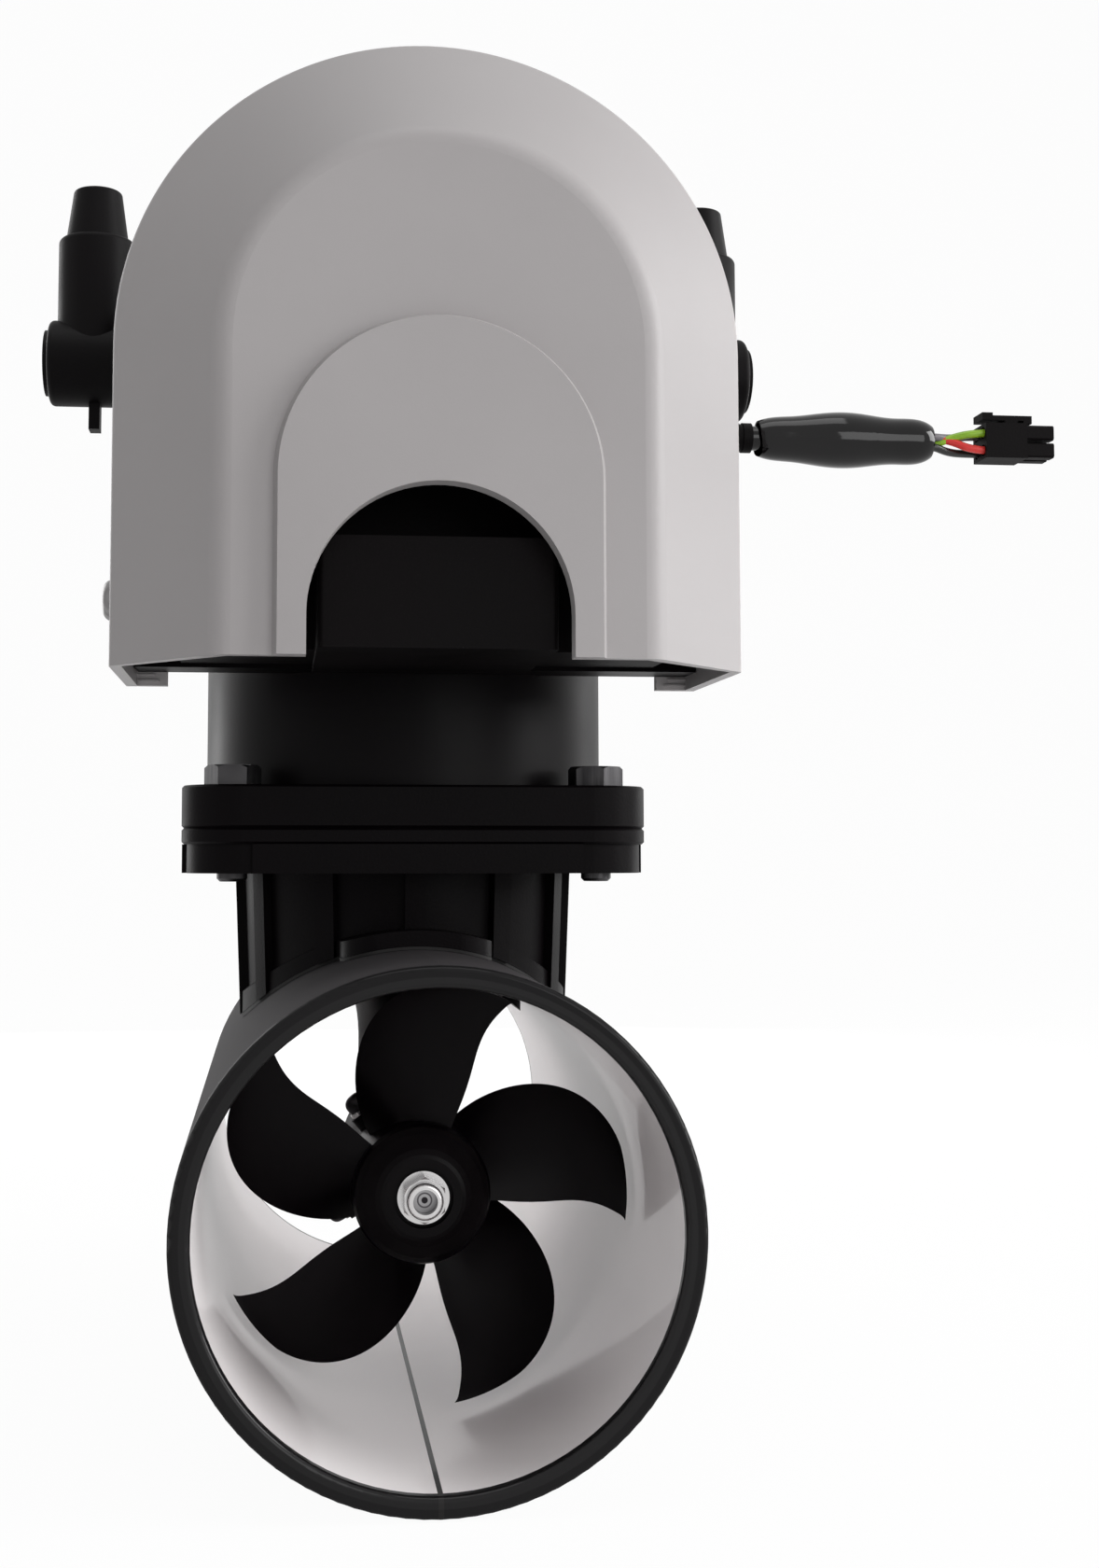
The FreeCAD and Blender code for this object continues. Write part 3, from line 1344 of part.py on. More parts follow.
def plug_housing():
    """Two-row housing: a square rear body, four silos in front and a latch on top."""
    half = plug_side / 2
    y, z = lead_y, lead_z
    split_x = plug_x + plug_length * 0.6
    rear = block(plug_x, split_x, y - half, y + half, z - half, z + half)
    body = [rear]
    row = plug_side / 4
    for dy in (-row, row):
        for dz in (-row, row):
            silo = block(split_x - 1, plug_x + plug_length, y + dy - 2.05, y + dy + 2.05,
                         z + dz - 2.05, z + dz + 2.05)
            body.append(silo.makeChamfer(0.5, [e for e in silo.Edges if is_lengthwise(e)]))
    post = block(plug_x + 6.5, plug_x + 10, y - 2.6, y + 2.6, z + half - 0.5, z + half + 1.8)
    lever = block(plug_x - 0.4, plug_x + plug_length * 0.72, y - 2.6, y + 2.6,
                  z + half + 1.2, z + half + 2.6)
    thumb = block(plug_x - 0.4, plug_x + 2.6, y - 3.4, y + 3.4, z + half + 1.2, z + half + 3.2)
    hook = block(plug_x + plug_length * 0.60, plug_x + plug_length * 0.72, y - 2.6, y + 2.6,
                 z + half + 0.4, z + half + 2.6)
    housing = fuse(body + [post, lever, thumb, hook])
    for dy in (-row, row):
        for dz in (-row, row):
            housing = housing.cut(cylinder(wire_d / 2 + 0.5, plug_length + 2,
                                           (plug_x - 1, y + dy, z + dz), (1, 0, 0)))
    return housing


def is_lengthwise(edge):
    first, last = edge.Vertexes[0].Point, edge.Vertexes[-1].Point
    return abs(first.y - last.y) < 1e-6 and abs(first.z - last.z) < 1e-6


def plug_contacts():
    row = plug_side / 4
    contacts = []
    for dy in (-row, row):
        for dz in (-row, row):
            at = (plug_x + 3.4, lead_y + dy, lead_z + dz)
            sleeve = cylinder(wire_d / 2 + 0.45, plug_length - 5.4, at, (1, 0, 0))
            contacts.append(sleeve.cut(cylinder(0.8, plug_length - 8, (plug_x + 6, at[1], at[2]),
                                                (1, 0, 0))))
    return contacts


# --------------------------------------------------------------------- write out
def build():
    os.makedirs("parts", exist_ok=True)
    drive_outer, drive_inner = drive_bearings()
    prop_outer, prop_inner = prop_bearings()
    motor_outer, motor_inner = motor_bearings()
    pieces = {
        "tunnel_tube": tunnel(),
        "tunnel_gasket": tunnel_gasket(),
        "saddle_flange": saddle_flange(),
        "leg_bolts": leg_bolts(),
        "flange_bolts": flange_bolts(),
        "gear_housing": gear_housing(),
        "neck_seal": neck_seal(),
        "oil_plugs": oil_plugs(),
        "oil_washers": oil_washers(),
        "pod_cap": pod_cap(),
        "pod_cap_seal": pod_cap_seal(),
        "pod_cap_screws": pod_cap_screws(),
        "drive_pinion": drive_pinion(),
        "crown_gear": crown_gear(),
        "drive_bearing_outer": drive_outer,
        "drive_bearing_inner": drive_inner,
        "prop_bearing_outer": prop_outer,
        "prop_bearing_inner": prop_inner,
        "motor_bearing_outer": motor_outer,
        "motor_bearing_inner": motor_inner,
        "shaft_spacer": shaft_spacer(),
        "drive_seal": drive_seal(),
        "prop_seal": prop_seal(),
        "drive_shaft": drive_shaft(),
        "drive_coupling": drive_coupling(),
        "motor_coupling": motor_coupling(),
        "coupling_spider": coupling_spider(),
        "motor_shaft": motor_shaft(),
        "prop_shaft": prop_shaft(),
        "drive_pin": drive_pin(),
        "propeller": propeller(),
        "prop_nut": prop_nut(),
        "motor_flange": motor_flange(),
        "motor_can": motor_can(),
        "motor_cap": motor_cap(),
        "motor_cap_screws": motor_cap_screws(),
        "stator_core": stator_core(),
        "stator_windings": stator_windings(),
        "rotor_core": rotor_core(),
        "rotor_magnets": rotor_magnets(),
        "front_cover": front_cover(),
        "cover_screws": cover_screws(),
        "controller_frame": controller_frame(),
        "controller_case": controller_case(),
        "circuit_board": circuit_board(),
        "board_posts": board_posts(),
        "power_capacitors": power_capacitors(),
        "terminal_blocks": terminal_blocks(),
        "terminal_studs": terminal_studs(),
        "stud_nuts": stud_nuts(),
        "battery_boot_left": battery_boot(-1),
        "battery_boot_right": battery_boot(1),
        "signal_gland": signal_gland(),
        "signal_cable": signal_cable(),
        "cable_sleeve": cable_sleeve(),
        "signal_wires": signal_wires(),
        "plug_housing": plug_housing(),
        "plug_contacts": plug_contacts(),
    }
    for name, shapes in pieces.items():
        save(name, shapes)


build()
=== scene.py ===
# %% [markdown]
# # A bow thruster in Blender
# A bow thruster pushes the front of a boat sideways. An electric motor stands on a round
# tunnel, a slim leg reaches down into the tunnel, and a propeller turns at its end.
# The solid parts come ready made. This lesson gives them light, a camera and finishes,
# and adds the few soft pieces that solids show badly: the signal cable and its wires.

# %% Load the solid parts
import math

import bpy
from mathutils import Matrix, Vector


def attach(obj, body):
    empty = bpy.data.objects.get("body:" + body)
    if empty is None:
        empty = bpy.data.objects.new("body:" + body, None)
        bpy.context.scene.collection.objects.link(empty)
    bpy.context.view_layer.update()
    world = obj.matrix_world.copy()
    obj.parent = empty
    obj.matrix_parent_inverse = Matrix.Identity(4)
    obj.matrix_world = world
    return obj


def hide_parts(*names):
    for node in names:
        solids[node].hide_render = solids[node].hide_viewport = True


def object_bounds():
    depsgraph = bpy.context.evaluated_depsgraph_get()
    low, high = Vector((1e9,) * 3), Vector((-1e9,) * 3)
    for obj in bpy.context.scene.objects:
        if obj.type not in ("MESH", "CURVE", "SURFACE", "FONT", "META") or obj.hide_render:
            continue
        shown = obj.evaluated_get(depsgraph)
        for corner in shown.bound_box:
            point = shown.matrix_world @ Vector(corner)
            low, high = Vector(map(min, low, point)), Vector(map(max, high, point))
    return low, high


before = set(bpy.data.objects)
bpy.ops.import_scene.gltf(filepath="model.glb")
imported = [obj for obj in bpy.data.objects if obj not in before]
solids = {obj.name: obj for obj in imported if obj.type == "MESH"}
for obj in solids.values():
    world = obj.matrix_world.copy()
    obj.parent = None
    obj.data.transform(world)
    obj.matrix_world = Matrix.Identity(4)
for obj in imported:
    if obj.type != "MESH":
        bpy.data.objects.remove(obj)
cad_low, cad_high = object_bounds()
cad_box = [list(map(float, cad_low)), list(map(float, cad_high))]
print("solid parts:", len(solids), "box:", cad_box)

# %% [markdown]
# ## The camera
# The thruster is seen from in front of the tunnel's mouth, a little from the left and
# from just above the propeller, looking slightly up. A long lens is one way to flatten
# a product shot; here the lens is short, so that the near tunnel looks big and the
# cover leans away. The lens shift keeps the part in the frame without turning the
# camera, so upright edges stay as upright as they should.

# %% Place the camera
LOOK_UP = 0.075
TURN_RIGHT = 0.102
camera_data = bpy.data.cameras.new("shop_camera")
camera_data.lens = 42.86
camera_data.sensor_width = 36.0
camera_data.shift_x = 0.0514
camera_data.shift_y = -0.0444
camera_data.clip_start = 0.01
camera_data.clip_end = 20.0
camera = bpy.data.objects.new("shop_camera", camera_data)
bpy.context.scene.collection.objects.link(camera)
camera.location = (-0.03663, -0.54547, 0.08465)
camera.rotation_euler = (math.pi / 2 + LOOK_UP, 0.0, -TURN_RIGHT)
bpy.context.scene.camera = camera
print("camera stands", round(camera.location.length, 3), "m from the tunnel's middle")

# %% [markdown]
# ## The signal cable
# The cable leaves the controller through a small gland, passes into a rubber sleeve and
# ends there. A cable could be a swept mesh, but a curve with a round bevel is simpler:
# a few control points give one smooth line, and the bevel gives it a thickness.
# The spline's order goes in after its points, because an empty spline ignores it. The
# bevel is one metre deep and each point's radius scales it down to the cord, because a
# curve's box is measured from the radius of its points.

# %% A helper that lays a round cord along a few points
def lay_cord(name, route, diameter):
    curve = bpy.data.curves.new(name, "CURVE")
    curve.dimensions = "3D"
    curve.bevel_depth = 1.0
    curve.bevel_resolution = 6
    curve.resolution_u = 16
    curve.use_fill_caps = True
    spline = curve.splines.new("NURBS")
    spline.points.add(len(route) - 1)
    for control, place in zip(spline.points, route):
        control.co = (*place, 1.0)
        control.radius = diameter / 2
    spline.order_u = 3
    spline.use_endpoint_u = True
    cord = bpy.data.objects.new(name, curve)
    bpy.context.scene.collection.objects.link(cord)
    return cord


def route_length(route):
    return sum((Vector(b) - Vector(a)).length for a, b in zip(route, route[1:]))


# %% The black jacketed cable
CABLE_Y = -0.049
CABLE_Z = 0.199
cable_route = [
    (0.0682, CABLE_Y, CABLE_Z),
    (0.1000, CABLE_Y, CABLE_Z),
    (0.10925, CABLE_Y - 0.0004, CABLE_Z - 0.0003),
    (0.1185, CABLE_Y - 0.0004, CABLE_Z - 0.0008),
]
signal_cable = lay_cord("signal_cable_jacket", cable_route, 0.0068)
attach(signal_cable, "thruster_body")
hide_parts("signal_cable")
print("cable jacket is", round(route_length(cable_route) * 1000), "mm long")

# %% [markdown]
# ## Four signal wires
# Inside the sleeve the jacket ends and four thin wires run on to the plug. They cross
# on the way, because the plug's pins sit in another order. Each wire is its own cord,
# so each can have its own colour of insulation.

# %% Route the wires from the jacket's end to the plug
WIRE_D = 0.0022
SLEEVE_END_X = 0.143
PLUG_X = 0.1575
START_X = 0.1187
PLUG_SIDE = 0.0098
row = PLUG_SIDE / 4
lift = WIRE_D / 2 + 0.00025
wire_plans = {
    "signal_wire_red": ((lift, lift), (-row, -row), 0.0012),
    "signal_wire_grey": ((-lift, lift), (row, row), -0.0006),
    "signal_wire_green": ((lift, -lift), (-row, row), 0.0005),
    "signal_wire_black": ((-lift, -lift), (row, -row), -0.0008),
}
for name, ((y0, z0), (y1, z1), bow) in wire_plans.items():
    route = [
        (START_X, CABLE_Y + y0, CABLE_Z + z0 - 0.0006),
        (START_X + 0.011, CABLE_Y + y0, CABLE_Z + z0 - 0.0005),
        (SLEEVE_END_X, CABLE_Y + y0 * 0.9, CABLE_Z + z0 * 0.9 + 0.0001),
        (SLEEVE_END_X + 0.0055, CABLE_Y + (y0 + y1) / 2, CABLE_Z + (z0 + z1) / 2 + bow),
        (PLUG_X - 0.003, CABLE_Y + y1, CABLE_Z + z1 - 0.0001),
        (PLUG_X + 0.0032, CABLE_Y + y1, CABLE_Z + z1),
    ]
    wire = lay_cord(name, route, WIRE_D)
    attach(wire, "thruster_body")
    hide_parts("signal_wires")
print("wires:", ", ".join(wire_plans))

# %% [markdown]
# ## A pale stage
# The background is plain white. A lit white wall would need so much light that the part
# itself washes out, so the stage gives off a plain white of its own to the camera and to
# reflections, and the lamps stay at a normal level. A small share of the lit surface still
# counts, which keeps a faint shadow under the tunnel. Floor and wall could be two planes,
# but one sheet that bends up behind the part leaves no line where they meet.

# %% A maths node, and a mask of the rays that see the stage as white
def math_node(tree, operation, first, second):
    """Add a maths node. Each input is a socket to read or a plain number."""
    node = tree.nodes.new("ShaderNodeMath")
    node.operation = operation
    for socket, value in zip(node.inputs, (first, second)):
        if isinstance(value, (int, float)):
            socket.default_value = value
        else:
            tree.links.new(value, socket)
    return node.outputs[0]


def seen_directly(tree):
    """1 for rays from the camera, from a reflection or through glass, 0 for the rest."""
    path = tree.nodes.new("ShaderNodeLightPath")
    seen = math_node(
        tree, "MAXIMUM", path.outputs["Is Camera Ray"], path.outputs["Is Glossy Ray"]
    )
    return math_node(tree, "MAXIMUM", seen, path.outputs["Is Transmission Ray"])


# %% Stage material and the sheet that is floor and wall
def stage_material(name, own_white):
    material = bpy.data.materials.new(name)
    material.use_nodes = True
    nodes = material.node_tree.nodes
    links = material.node_tree.links
    nodes.clear()
    output = nodes.new("ShaderNodeOutputMaterial")
    mix = nodes.new("ShaderNodeMixShader")
    diffuse = nodes.new("ShaderNodeBsdfDiffuse")
    diffuse.inputs["Color"].default_value = (0.8, 0.8, 0.8, 1)
    glow = nodes.new("ShaderNodeEmission")
    glow.inputs["Color"].default_value = (1, 1, 1, 1)
    glow.inputs["Strength"].default_value = 1.0
    own_share = math_node(
        material.node_tree, "MULTIPLY", seen_directly(material.node_tree), own_white
    )
    links.new(own_share, mix.inputs[0])
    links.new(diffuse.outputs[0], mix.inputs[1])
    links.new(glow.outputs[0], mix.inputs[2])
    links.new(mix.outputs[0], output.inputs["Surface"])
    return material


FLOOR_Z = cad_box[0][2] - 0.0004
SWEEP_R = 1.6
SWEEP_STEPS = 24
WALL_Y = 3.0
WALL_TOP_Z = 3.5
FRONT_Y = -3.0
HALF_WIDTH = 3.0
sweep_line = [(FRONT_Y, FLOOR_Z)]
for step in range(SWEEP_STEPS + 1):
    angle = math.pi / 2 * step / SWEEP_STEPS
    sweep_line.append((WALL_Y - SWEEP_R + SWEEP_R * math.sin(angle),
                       FLOOR_Z + SWEEP_R * (1 - math.cos(angle))))
sweep_line.append((WALL_Y, WALL_TOP_Z))
sweep_points = [(x, y, z) for y, z in sweep_line for x in (-HALF_WIDTH, HALF_WIDTH)]
sweep_faces = [(2 * i, 2 * i + 1, 2 * i + 3, 2 * i + 2) for i in range(len(sweep_line) - 1)]
sweep_mesh = bpy.data.meshes.new("studio_sweep")
sweep_mesh.from_pydata(sweep_points, [], sweep_faces)
sweep_mesh.shade_smooth()
sweep_mesh.materials.append(stage_material("studio_white", 0.96))
sweep = bpy.data.objects.new("studio_sweep", sweep_mesh)
bpy.context.scene.collection.objects.link(sweep)
print("floor at", round(FLOOR_Z * 1000, 1), "mm")

# %% [markdown]
# ## Soft light from the sides
# A large lamp on the right models the cover's slopes: the right slope turns bright, the
# face stays mid grey and the left slope falls into shade. Black parts need something to
# reflect, so narrow tall lamps stand behind on both sides and draw soft lines down the
# motor. The world gives the shade its level, and looks white only where the camera or
# a reflection meets it, as the stage does.

# %% Lamps and world
def soft_lamp(name, place, aim, size, height, power):
    data = bpy.data.lights.new(name, "AREA")
    data.shape = "RECTANGLE"
    data.size = size
    data.size_y = height
    data.energy = power
    lamp = bpy.data.objects.new(name, data)
    bpy.context.scene.collection.objects.link(lamp)
    lamp.location = place
    way = Vector(aim) - Vector(place)
    lamp.rotation_euler = way.to_track_quat("-Z", "Y").to_euler()
    return lamp


PART_MIDDLE = (0, 0, 0.1)
soft_lamp("right_key", (1.8, -0.5, 0.8), PART_MIDDLE, 0.9, 1.2, 32)
soft_lamp("left_edge", (-1.2, 1.3, 0.45), PART_MIDDLE, 0.4, 1.4, 9)
soft_lamp("front_fill", (0.9, -1.7, 0.4), PART_MIDDLE, 1.0, 1.0, 9)
tunnel_glow = soft_lamp("tunnel_glow", (0.02, 1.0, 0.12), (0, 0, 0), 0.5, 0.5, 10)
tunnel_glow.visible_glossy = False
soft_lamp("right_edge", (1.4, 0.9, 0.3), PART_MIDDLE, 0.3, 1.4, 6)
soft_lamp("top_soft", (0.0, -0.5, 1.9), PART_MIDDLE, 1.2, 1.0, 8)

WORLD_LEVEL = 0.31
world = bpy.data.worlds.new("studio_world")
bpy.context.scene.world = world
world.use_nodes = True
background = world.node_tree.nodes["Background"]
background.inputs["Color"].default_value = (1, 1, 1, 1)
world_level = world.node_tree.nodes.new("ShaderNodeMapRange")
world_level.inputs["To Min"].default_value = WORLD_LEVEL
world_level.inputs["To Max"].default_value = 1.0
world.node_tree.links.new(seen_directly(world.node_tree), world_level.inputs["Value"])
world.node_tree.links.new(world_level.outputs["Result"], background.inputs["Strength"])
bpy.context.scene.view_settings.view_transform = "Standard"

# %% [markdown]
# ## Effects that several finishes share
# Real surfaces vary: moulded plastic has a faint texture and cast metal a coarser one,
# turned steel has lines, and dust settles on whatever faces up. Each effect is built once
# as a node group with named inputs, and every material sets its own values on it.
# Noise in object space is used, because the solids carry no unwrapped coordinates.

# %% A helper for making node groups
def new_group(name, inputs, outputs):
    group = bpy.data.node_groups.new(name, "ShaderNodeTree")
    number = "NodeSocketFloat"
    for label, value in inputs.items():
        socket = group.interface.new_socket(name=label, in_out="INPUT", socket_type=number)
        socket.default_value = value
    for label in outputs:
        group.interface.new_socket(name=label, in_out="OUTPUT", socket_type=number)
    start = group.nodes.new("NodeGroupInput")
    end = group.nodes.new("NodeGroupOutput")
    return group, start, end


def scaled_noise(group, coordinates, scale_socket, detail, stretch=(1, 1, 1)):
    nodes = group.nodes
    squeeze = nodes.new("ShaderNodeVectorMath")
    squeeze.operation = "MULTIPLY"
    squeeze.inputs[1].default_value = stretch
    noise = nodes.new("ShaderNodeTexNoise")
    noise.inputs["Detail"].default_value = detail
    group.links.new(coordinates, squeeze.inputs[0])
    group.links.new(squeeze.outputs[0], noise.inputs["Vector"])
    group.links.new(scale_socket, noise.inputs["Scale"])
    return noise.outputs["Fac"]


NOISE_LOW = 0.35
NOISE_HIGH = 0.65


def spread(group, value, low, high):
    """Map the middle of a noise, where most of its values lie, to low..high."""
    node = group.nodes.new("ShaderNodeMapRange")
    node.inputs["From Min"].default_value = NOISE_LOW
    node.inputs["From Max"].default_value = NOISE_HIGH
    node.inputs["To Min"].default_value = low
    node.inputs["To Max"].default_value = high
    group.links.new(value, node.inputs["Value"])
    return node.outputs["Result"]


# %% Group one: fine surface grain
grain_group, grain_in, grain_out = new_group(
    "surface_grain", {"Grain Scale": 900.0, "Patch Scale": 18.0}, ["Height", "Patches"]
)
grain_place = grain_group.nodes.new("ShaderNodeTexCoord").outputs["Object"]
fine = scaled_noise(grain_group, grain_place, grain_in.outputs["Grain Scale"], 2.0)
patch = scaled_noise(grain_group, grain_place, grain_in.outputs["Patch Scale"], 3.0)
grain_group.links.new(spread(grain_group, fine, 0.0, 1.0), grain_out.inputs["Height"])
grain_group.links.new(spread(grain_group, patch, 0.0, 1.0), grain_out.inputs["Patches"])
print("made group", grain_group.name)

# %% [markdown]
# ### Machining lines
# Turned and ground steel shows fine rings or lines. Noise that is squeezed along one
# axis makes lines that run across it, and three squeezed noises could be blended for
# any direction; one axis is enough for each of these parts.

# %% Group two: fine lines along one axis
LINE_STRETCH = (2.0, 90.0, 2.0)
STREAK_STRETCH = (1.0, 12.0, 1.0)
line_group, line_in, line_out = new_group(
    "tool_lines", {"Line Scale": 60.0}, ["Height", "Streaks"]
)
line_place = line_group.nodes.new("ShaderNodeTexCoord").outputs["Object"]
line_scale = line_in.outputs["Line Scale"]
lines = scaled_noise(line_group, line_place, line_scale, 4.0, LINE_STRETCH)
streak = scaled_noise(line_group, line_place, line_scale, 2.0, STREAK_STRETCH)
line_group.links.new(spread(line_group, lines, 0.0, 1.0), line_out.inputs["Height"])
line_group.links.new(spread(line_group, streak, 0.0, 1.0), line_out.inputs["Streaks"])
print("made group", line_group.name)

# %% [markdown]
# ### Dust on upward faces
# A motor in a bow locker gathers a little dust where faces look up. The surface normal's
# upward part, broken by noise, gives a mask for it.

# %% Group three: settled dust
DUST_FROM_SLOPE = 0.45
dust_group, dust_in, dust_out = new_group("settled_dust", {"Dust Amount": 0.1}, ["Dust"])
dust_shape = dust_group.nodes.new("ShaderNodeNewGeometry")
split = dust_group.nodes.new("ShaderNodeSeparateXYZ")
dust_group.links.new(dust_shape.outputs["Normal"], split.inputs[0])
up = dust_group.nodes.new("ShaderNodeMapRange")
up.inputs["From Min"].default_value = DUST_FROM_SLOPE
up.inputs["From Max"].default_value = 1.0
dust_group.links.new(split.outputs["Z"], up.inputs["Value"])
dust_place = dust_group.nodes.new("ShaderNodeTexCoord")
cloud = dust_group.nodes.new("ShaderNodeTexNoise")
cloud.inputs["Scale"].default_value = 70.0
cloud.inputs["Detail"].default_value = 5.0
dust_group.links.new(dust_place.outputs["Object"], cloud.inputs["Vector"])
cloud_cover = spread(dust_group, cloud.outputs["Fac"], 0.2, 1.0)
drift = math_node(dust_group, "MULTIPLY", up.outputs["Result"], cloud_cover)
share = math_node(dust_group, "MULTIPLY", drift, dust_in.outputs["Dust Amount"])
dust_group.links.new(share, dust_out.inputs["Dust"])
print("made group", dust_group.name)

# %% [markdown]
# ## One way to build a finish
# Most finishes here differ in colour, gloss and in how strongly the shared effects show.
# A function keeps them alike: it mixes a darker and a lighter tone by the patches, lets
# the patches vary the roughness a little, adds dust and feeds the grain to a bump.
# Values that are the same all over go straight onto the shader.

# %% The finish builder
DUST_TONE = (0.3, 0.28, 0.26)


def use_group(material, group, values):
    node = material.node_tree.nodes.new("ShaderNodeGroup")
    node.node_tree = group
    for label, value in values.items():
        node.inputs[label].default_value = value
    return node


def blend_colour(material, mask, first, second):
    node = material.node_tree.nodes.new("ShaderNodeMix")
    node.data_type = "RGBA"
    material.node_tree.links.new(mask, node.inputs["Factor"])
    for socket, colour in ((node.inputs[6], first), (node.inputs[7], second)):
        if isinstance(colour, tuple):
            socket.default_value = (*colour, 1.0)
        else:
            material.node_tree.links.new(colour, socket)
    return node.outputs[2]


def blend_value(material, mask, low, high):
    node = material.node_tree.nodes.new("ShaderNodeMapRange")
    node.inputs["To Min"].default_value = low
    node.inputs["To Max"].default_value = high
    material.node_tree.links.new(mask, node.inputs["Value"])
    return node.outputs["Result"]


def add_bump(material, height, strength, distance):
    shader = material.node_tree.nodes["Principled BSDF"]
    bump = material.node_tree.nodes.new("ShaderNodeBump")
    bump.inputs["Strength"].default_value = strength
    bump.inputs["Distance"].default_value = distance
    material.node_tree.links.new(height, bump.inputs["Height"])
    material.node_tree.links.new(bump.outputs["Normal"], shader.inputs["Normal"])


def finish(name, dark, light, rough, *, metal=0.0, specular=0.5, coat=0.0, grain=900.0,
           patches=18.0, bump=0.2, depth=0.00005, dust=0.0):
    material = bpy.data.materials.new(name)
    material.use_nodes = True
    links = material.node_tree.links
    shader = material.node_tree.nodes["Principled BSDF"]
    shader.inputs["Metallic"].default_value = metal
    shader.inputs["Specular IOR Level"].default_value = specular
    shader.inputs["Coat Weight"].default_value = coat
    shader.inputs["Coat Roughness"].default_value = 0.05
    grain_node = use_group(
        material, grain_group, {"Grain Scale": grain, "Patch Scale": patches}
    )
    patch_mask = grain_node.outputs["Patches"]
    colour = blend_colour(material, patch_mask, dark, light)
    if dust > 0:
        dust_node = use_group(material, dust_group, {"Dust Amount": dust})
        colour = blend_colour(material, dust_node.outputs["Dust"], colour, DUST_TONE)
    links.new(colour, shader.inputs["Base Color"])
    links.new(blend_value(material, patch_mask, *rough), shader.inputs["Roughness"])
    add_bump(material, grain_node.outputs["Height"], bump, depth)
    return material


def dress(material, *names):
    for name in names:
        piece = solids[name] if name in solids else bpy.data.objects[name]
        if not piece.material_slots:
            piece.data.materials.append(material)
        for place in piece.material_slots:
            place.material = material
    print(material.name, "on", len(names))


# %% [markdown]
# ## The cover's grey plastic
# The cover is a light grey moulding with a low sheen. Its tone barely varies, so the
# shape carries it; only the finest texture breaks the light on the slopes.

# %% Cover finish
cover_plastic = finish(
    "cover_grey_plastic", (0.335, 0.318, 0.320), (0.365, 0.347, 0.349), (0.42, 0.5),
    specular=0.35, grain=2200.0, patches=9.0, bump=0.12, depth=0.00003, dust=0.04,
)
dress(cover_plastic, "front_cover")

# %% [markdown]
# ## The tunnel's glossy resin
# The tunnel is wound from glass fibre in one grey resin, inside and out. The inner wall's
# pale grey is partly the resin's own tone and partly painted light, under a thin glossy
# skin; the outer wall is dull, and its dark grey is painted shade. Both ends are near
# black, and a dark joint runs along its lowest line. A coat gives the skin its second,
# sharper reflection.
# The two walls could be two materials, but masks from the distance to the tube's axis and
# from the position along and across it need no choice of faces. A mask that is open on
# one side ends a metre away, which is beyond every piece.

# %% Tunnel finish and masks of place
# The pale grey here is partly the resin's own tone and partly painted light for the inside
# of the tube, where little lamp light reaches.
tunnel_resin = finish(
    "tunnel_grey_resin", (0.74, 0.706, 0.708), (0.78, 0.745, 0.747), (0.36, 0.44),
    specular=0.12, grain=500.0, patches=14.0, bump=0.02, depth=0.00002,
)


def band_mask(material, value, low, high):
    """1 where the value lies between low and high."""
    tree = material.node_tree
    above = math_node(tree, "GREATER_THAN", value, low)
    below = math_node(tree, "LESS_THAN", value, high)
    return math_node(tree, "MULTIPLY", above, below)


def position_mask(material, axis, low, high, both_sides=True):
    """1 where the coordinate lies between low and high, in metres.

    With both_sides the coordinate counts without its sign.
    """
    tree = material.node_tree
    parts = tree.nodes.new("ShaderNodeSeparateXYZ")
    tree.links.new(tree.nodes.new("ShaderNodeTexCoord").outputs["Object"], parts.inputs[0])
    place = parts.outputs[axis]
    if both_sides:
        place = math_node(tree, "ABSOLUTE", place, 0.0)
    return band_mask(material, place, low, high)


def ring_mask(material, low, high):
    """1 where the distance from the Y axis lies between low and high, in metres."""
    tree = material.node_tree
    across = tree.nodes.new("ShaderNodeVectorMath")
    across.operation = "MULTIPLY"
    across.inputs[1].default_value = (1.0, 0.0, 1.0)
    radius = tree.nodes.new("ShaderNodeVectorMath")
    radius.operation = "LENGTH"
    tree.links.new(tree.nodes.new("ShaderNodeTexCoord").outputs["Object"], across.inputs[0])
    tree.links.new(across.outputs[0], radius.inputs[0])
    return band_mask(material, radius.outputs["Value"], low, high)


def paint_over(material, mask, colour):
    """Put a second colour over a finish, where the mask is 1."""
    shader = material.node_tree.nodes["Principled BSDF"]
    under = shader.inputs["Base Color"].links[0].from_socket
    painted = blend_colour(material, mask, under, colour)
    material.node_tree.links.new(painted, shader.inputs["Base Color"])


# %% Painted shade on the outer wall, near-black ends and the joint
BEYOND = 1.0
WALL_MIDDLE_R = 0.0575
BLACK_END_Y = 0.1262
JOINT_HALF_W = 0.0006
JOINT_TOP_Z = -0.04
# Painted shade: the outer wall is painted dark grey. The same mask also takes the coat off
# the outer wall and makes it rougher.
outer_wall_shade_and_gloss = ring_mask(tunnel_resin, WALL_MIDDLE_R, BEYOND)
paint_over(tunnel_resin, outer_wall_shade_and_gloss, (0.030, 0.027, 0.029))
tube_end = position_mask(tunnel_resin, "Y", BLACK_END_Y, BEYOND)
paint_over(tunnel_resin, tube_end, (0.003, 0.0026, 0.003))
tunnel_tree = tunnel_resin.node_tree
tunnel_shader = tunnel_tree.nodes["Principled BSDF"]
inside_coat = blend_value(tunnel_resin, outer_wall_shade_and_gloss, 0.22, 0.0)
end_coat = blend_value(tunnel_resin, tube_end, 0.0, 0.15)
coat_weight = math_node(tunnel_tree, "MAXIMUM", inside_coat, end_coat)
tunnel_tree.links.new(coat_weight, tunnel_shader.inputs["Coat Weight"])
wall_roughness = blend_value(tunnel_resin, outer_wall_shade_and_gloss, 0.40, 0.75)
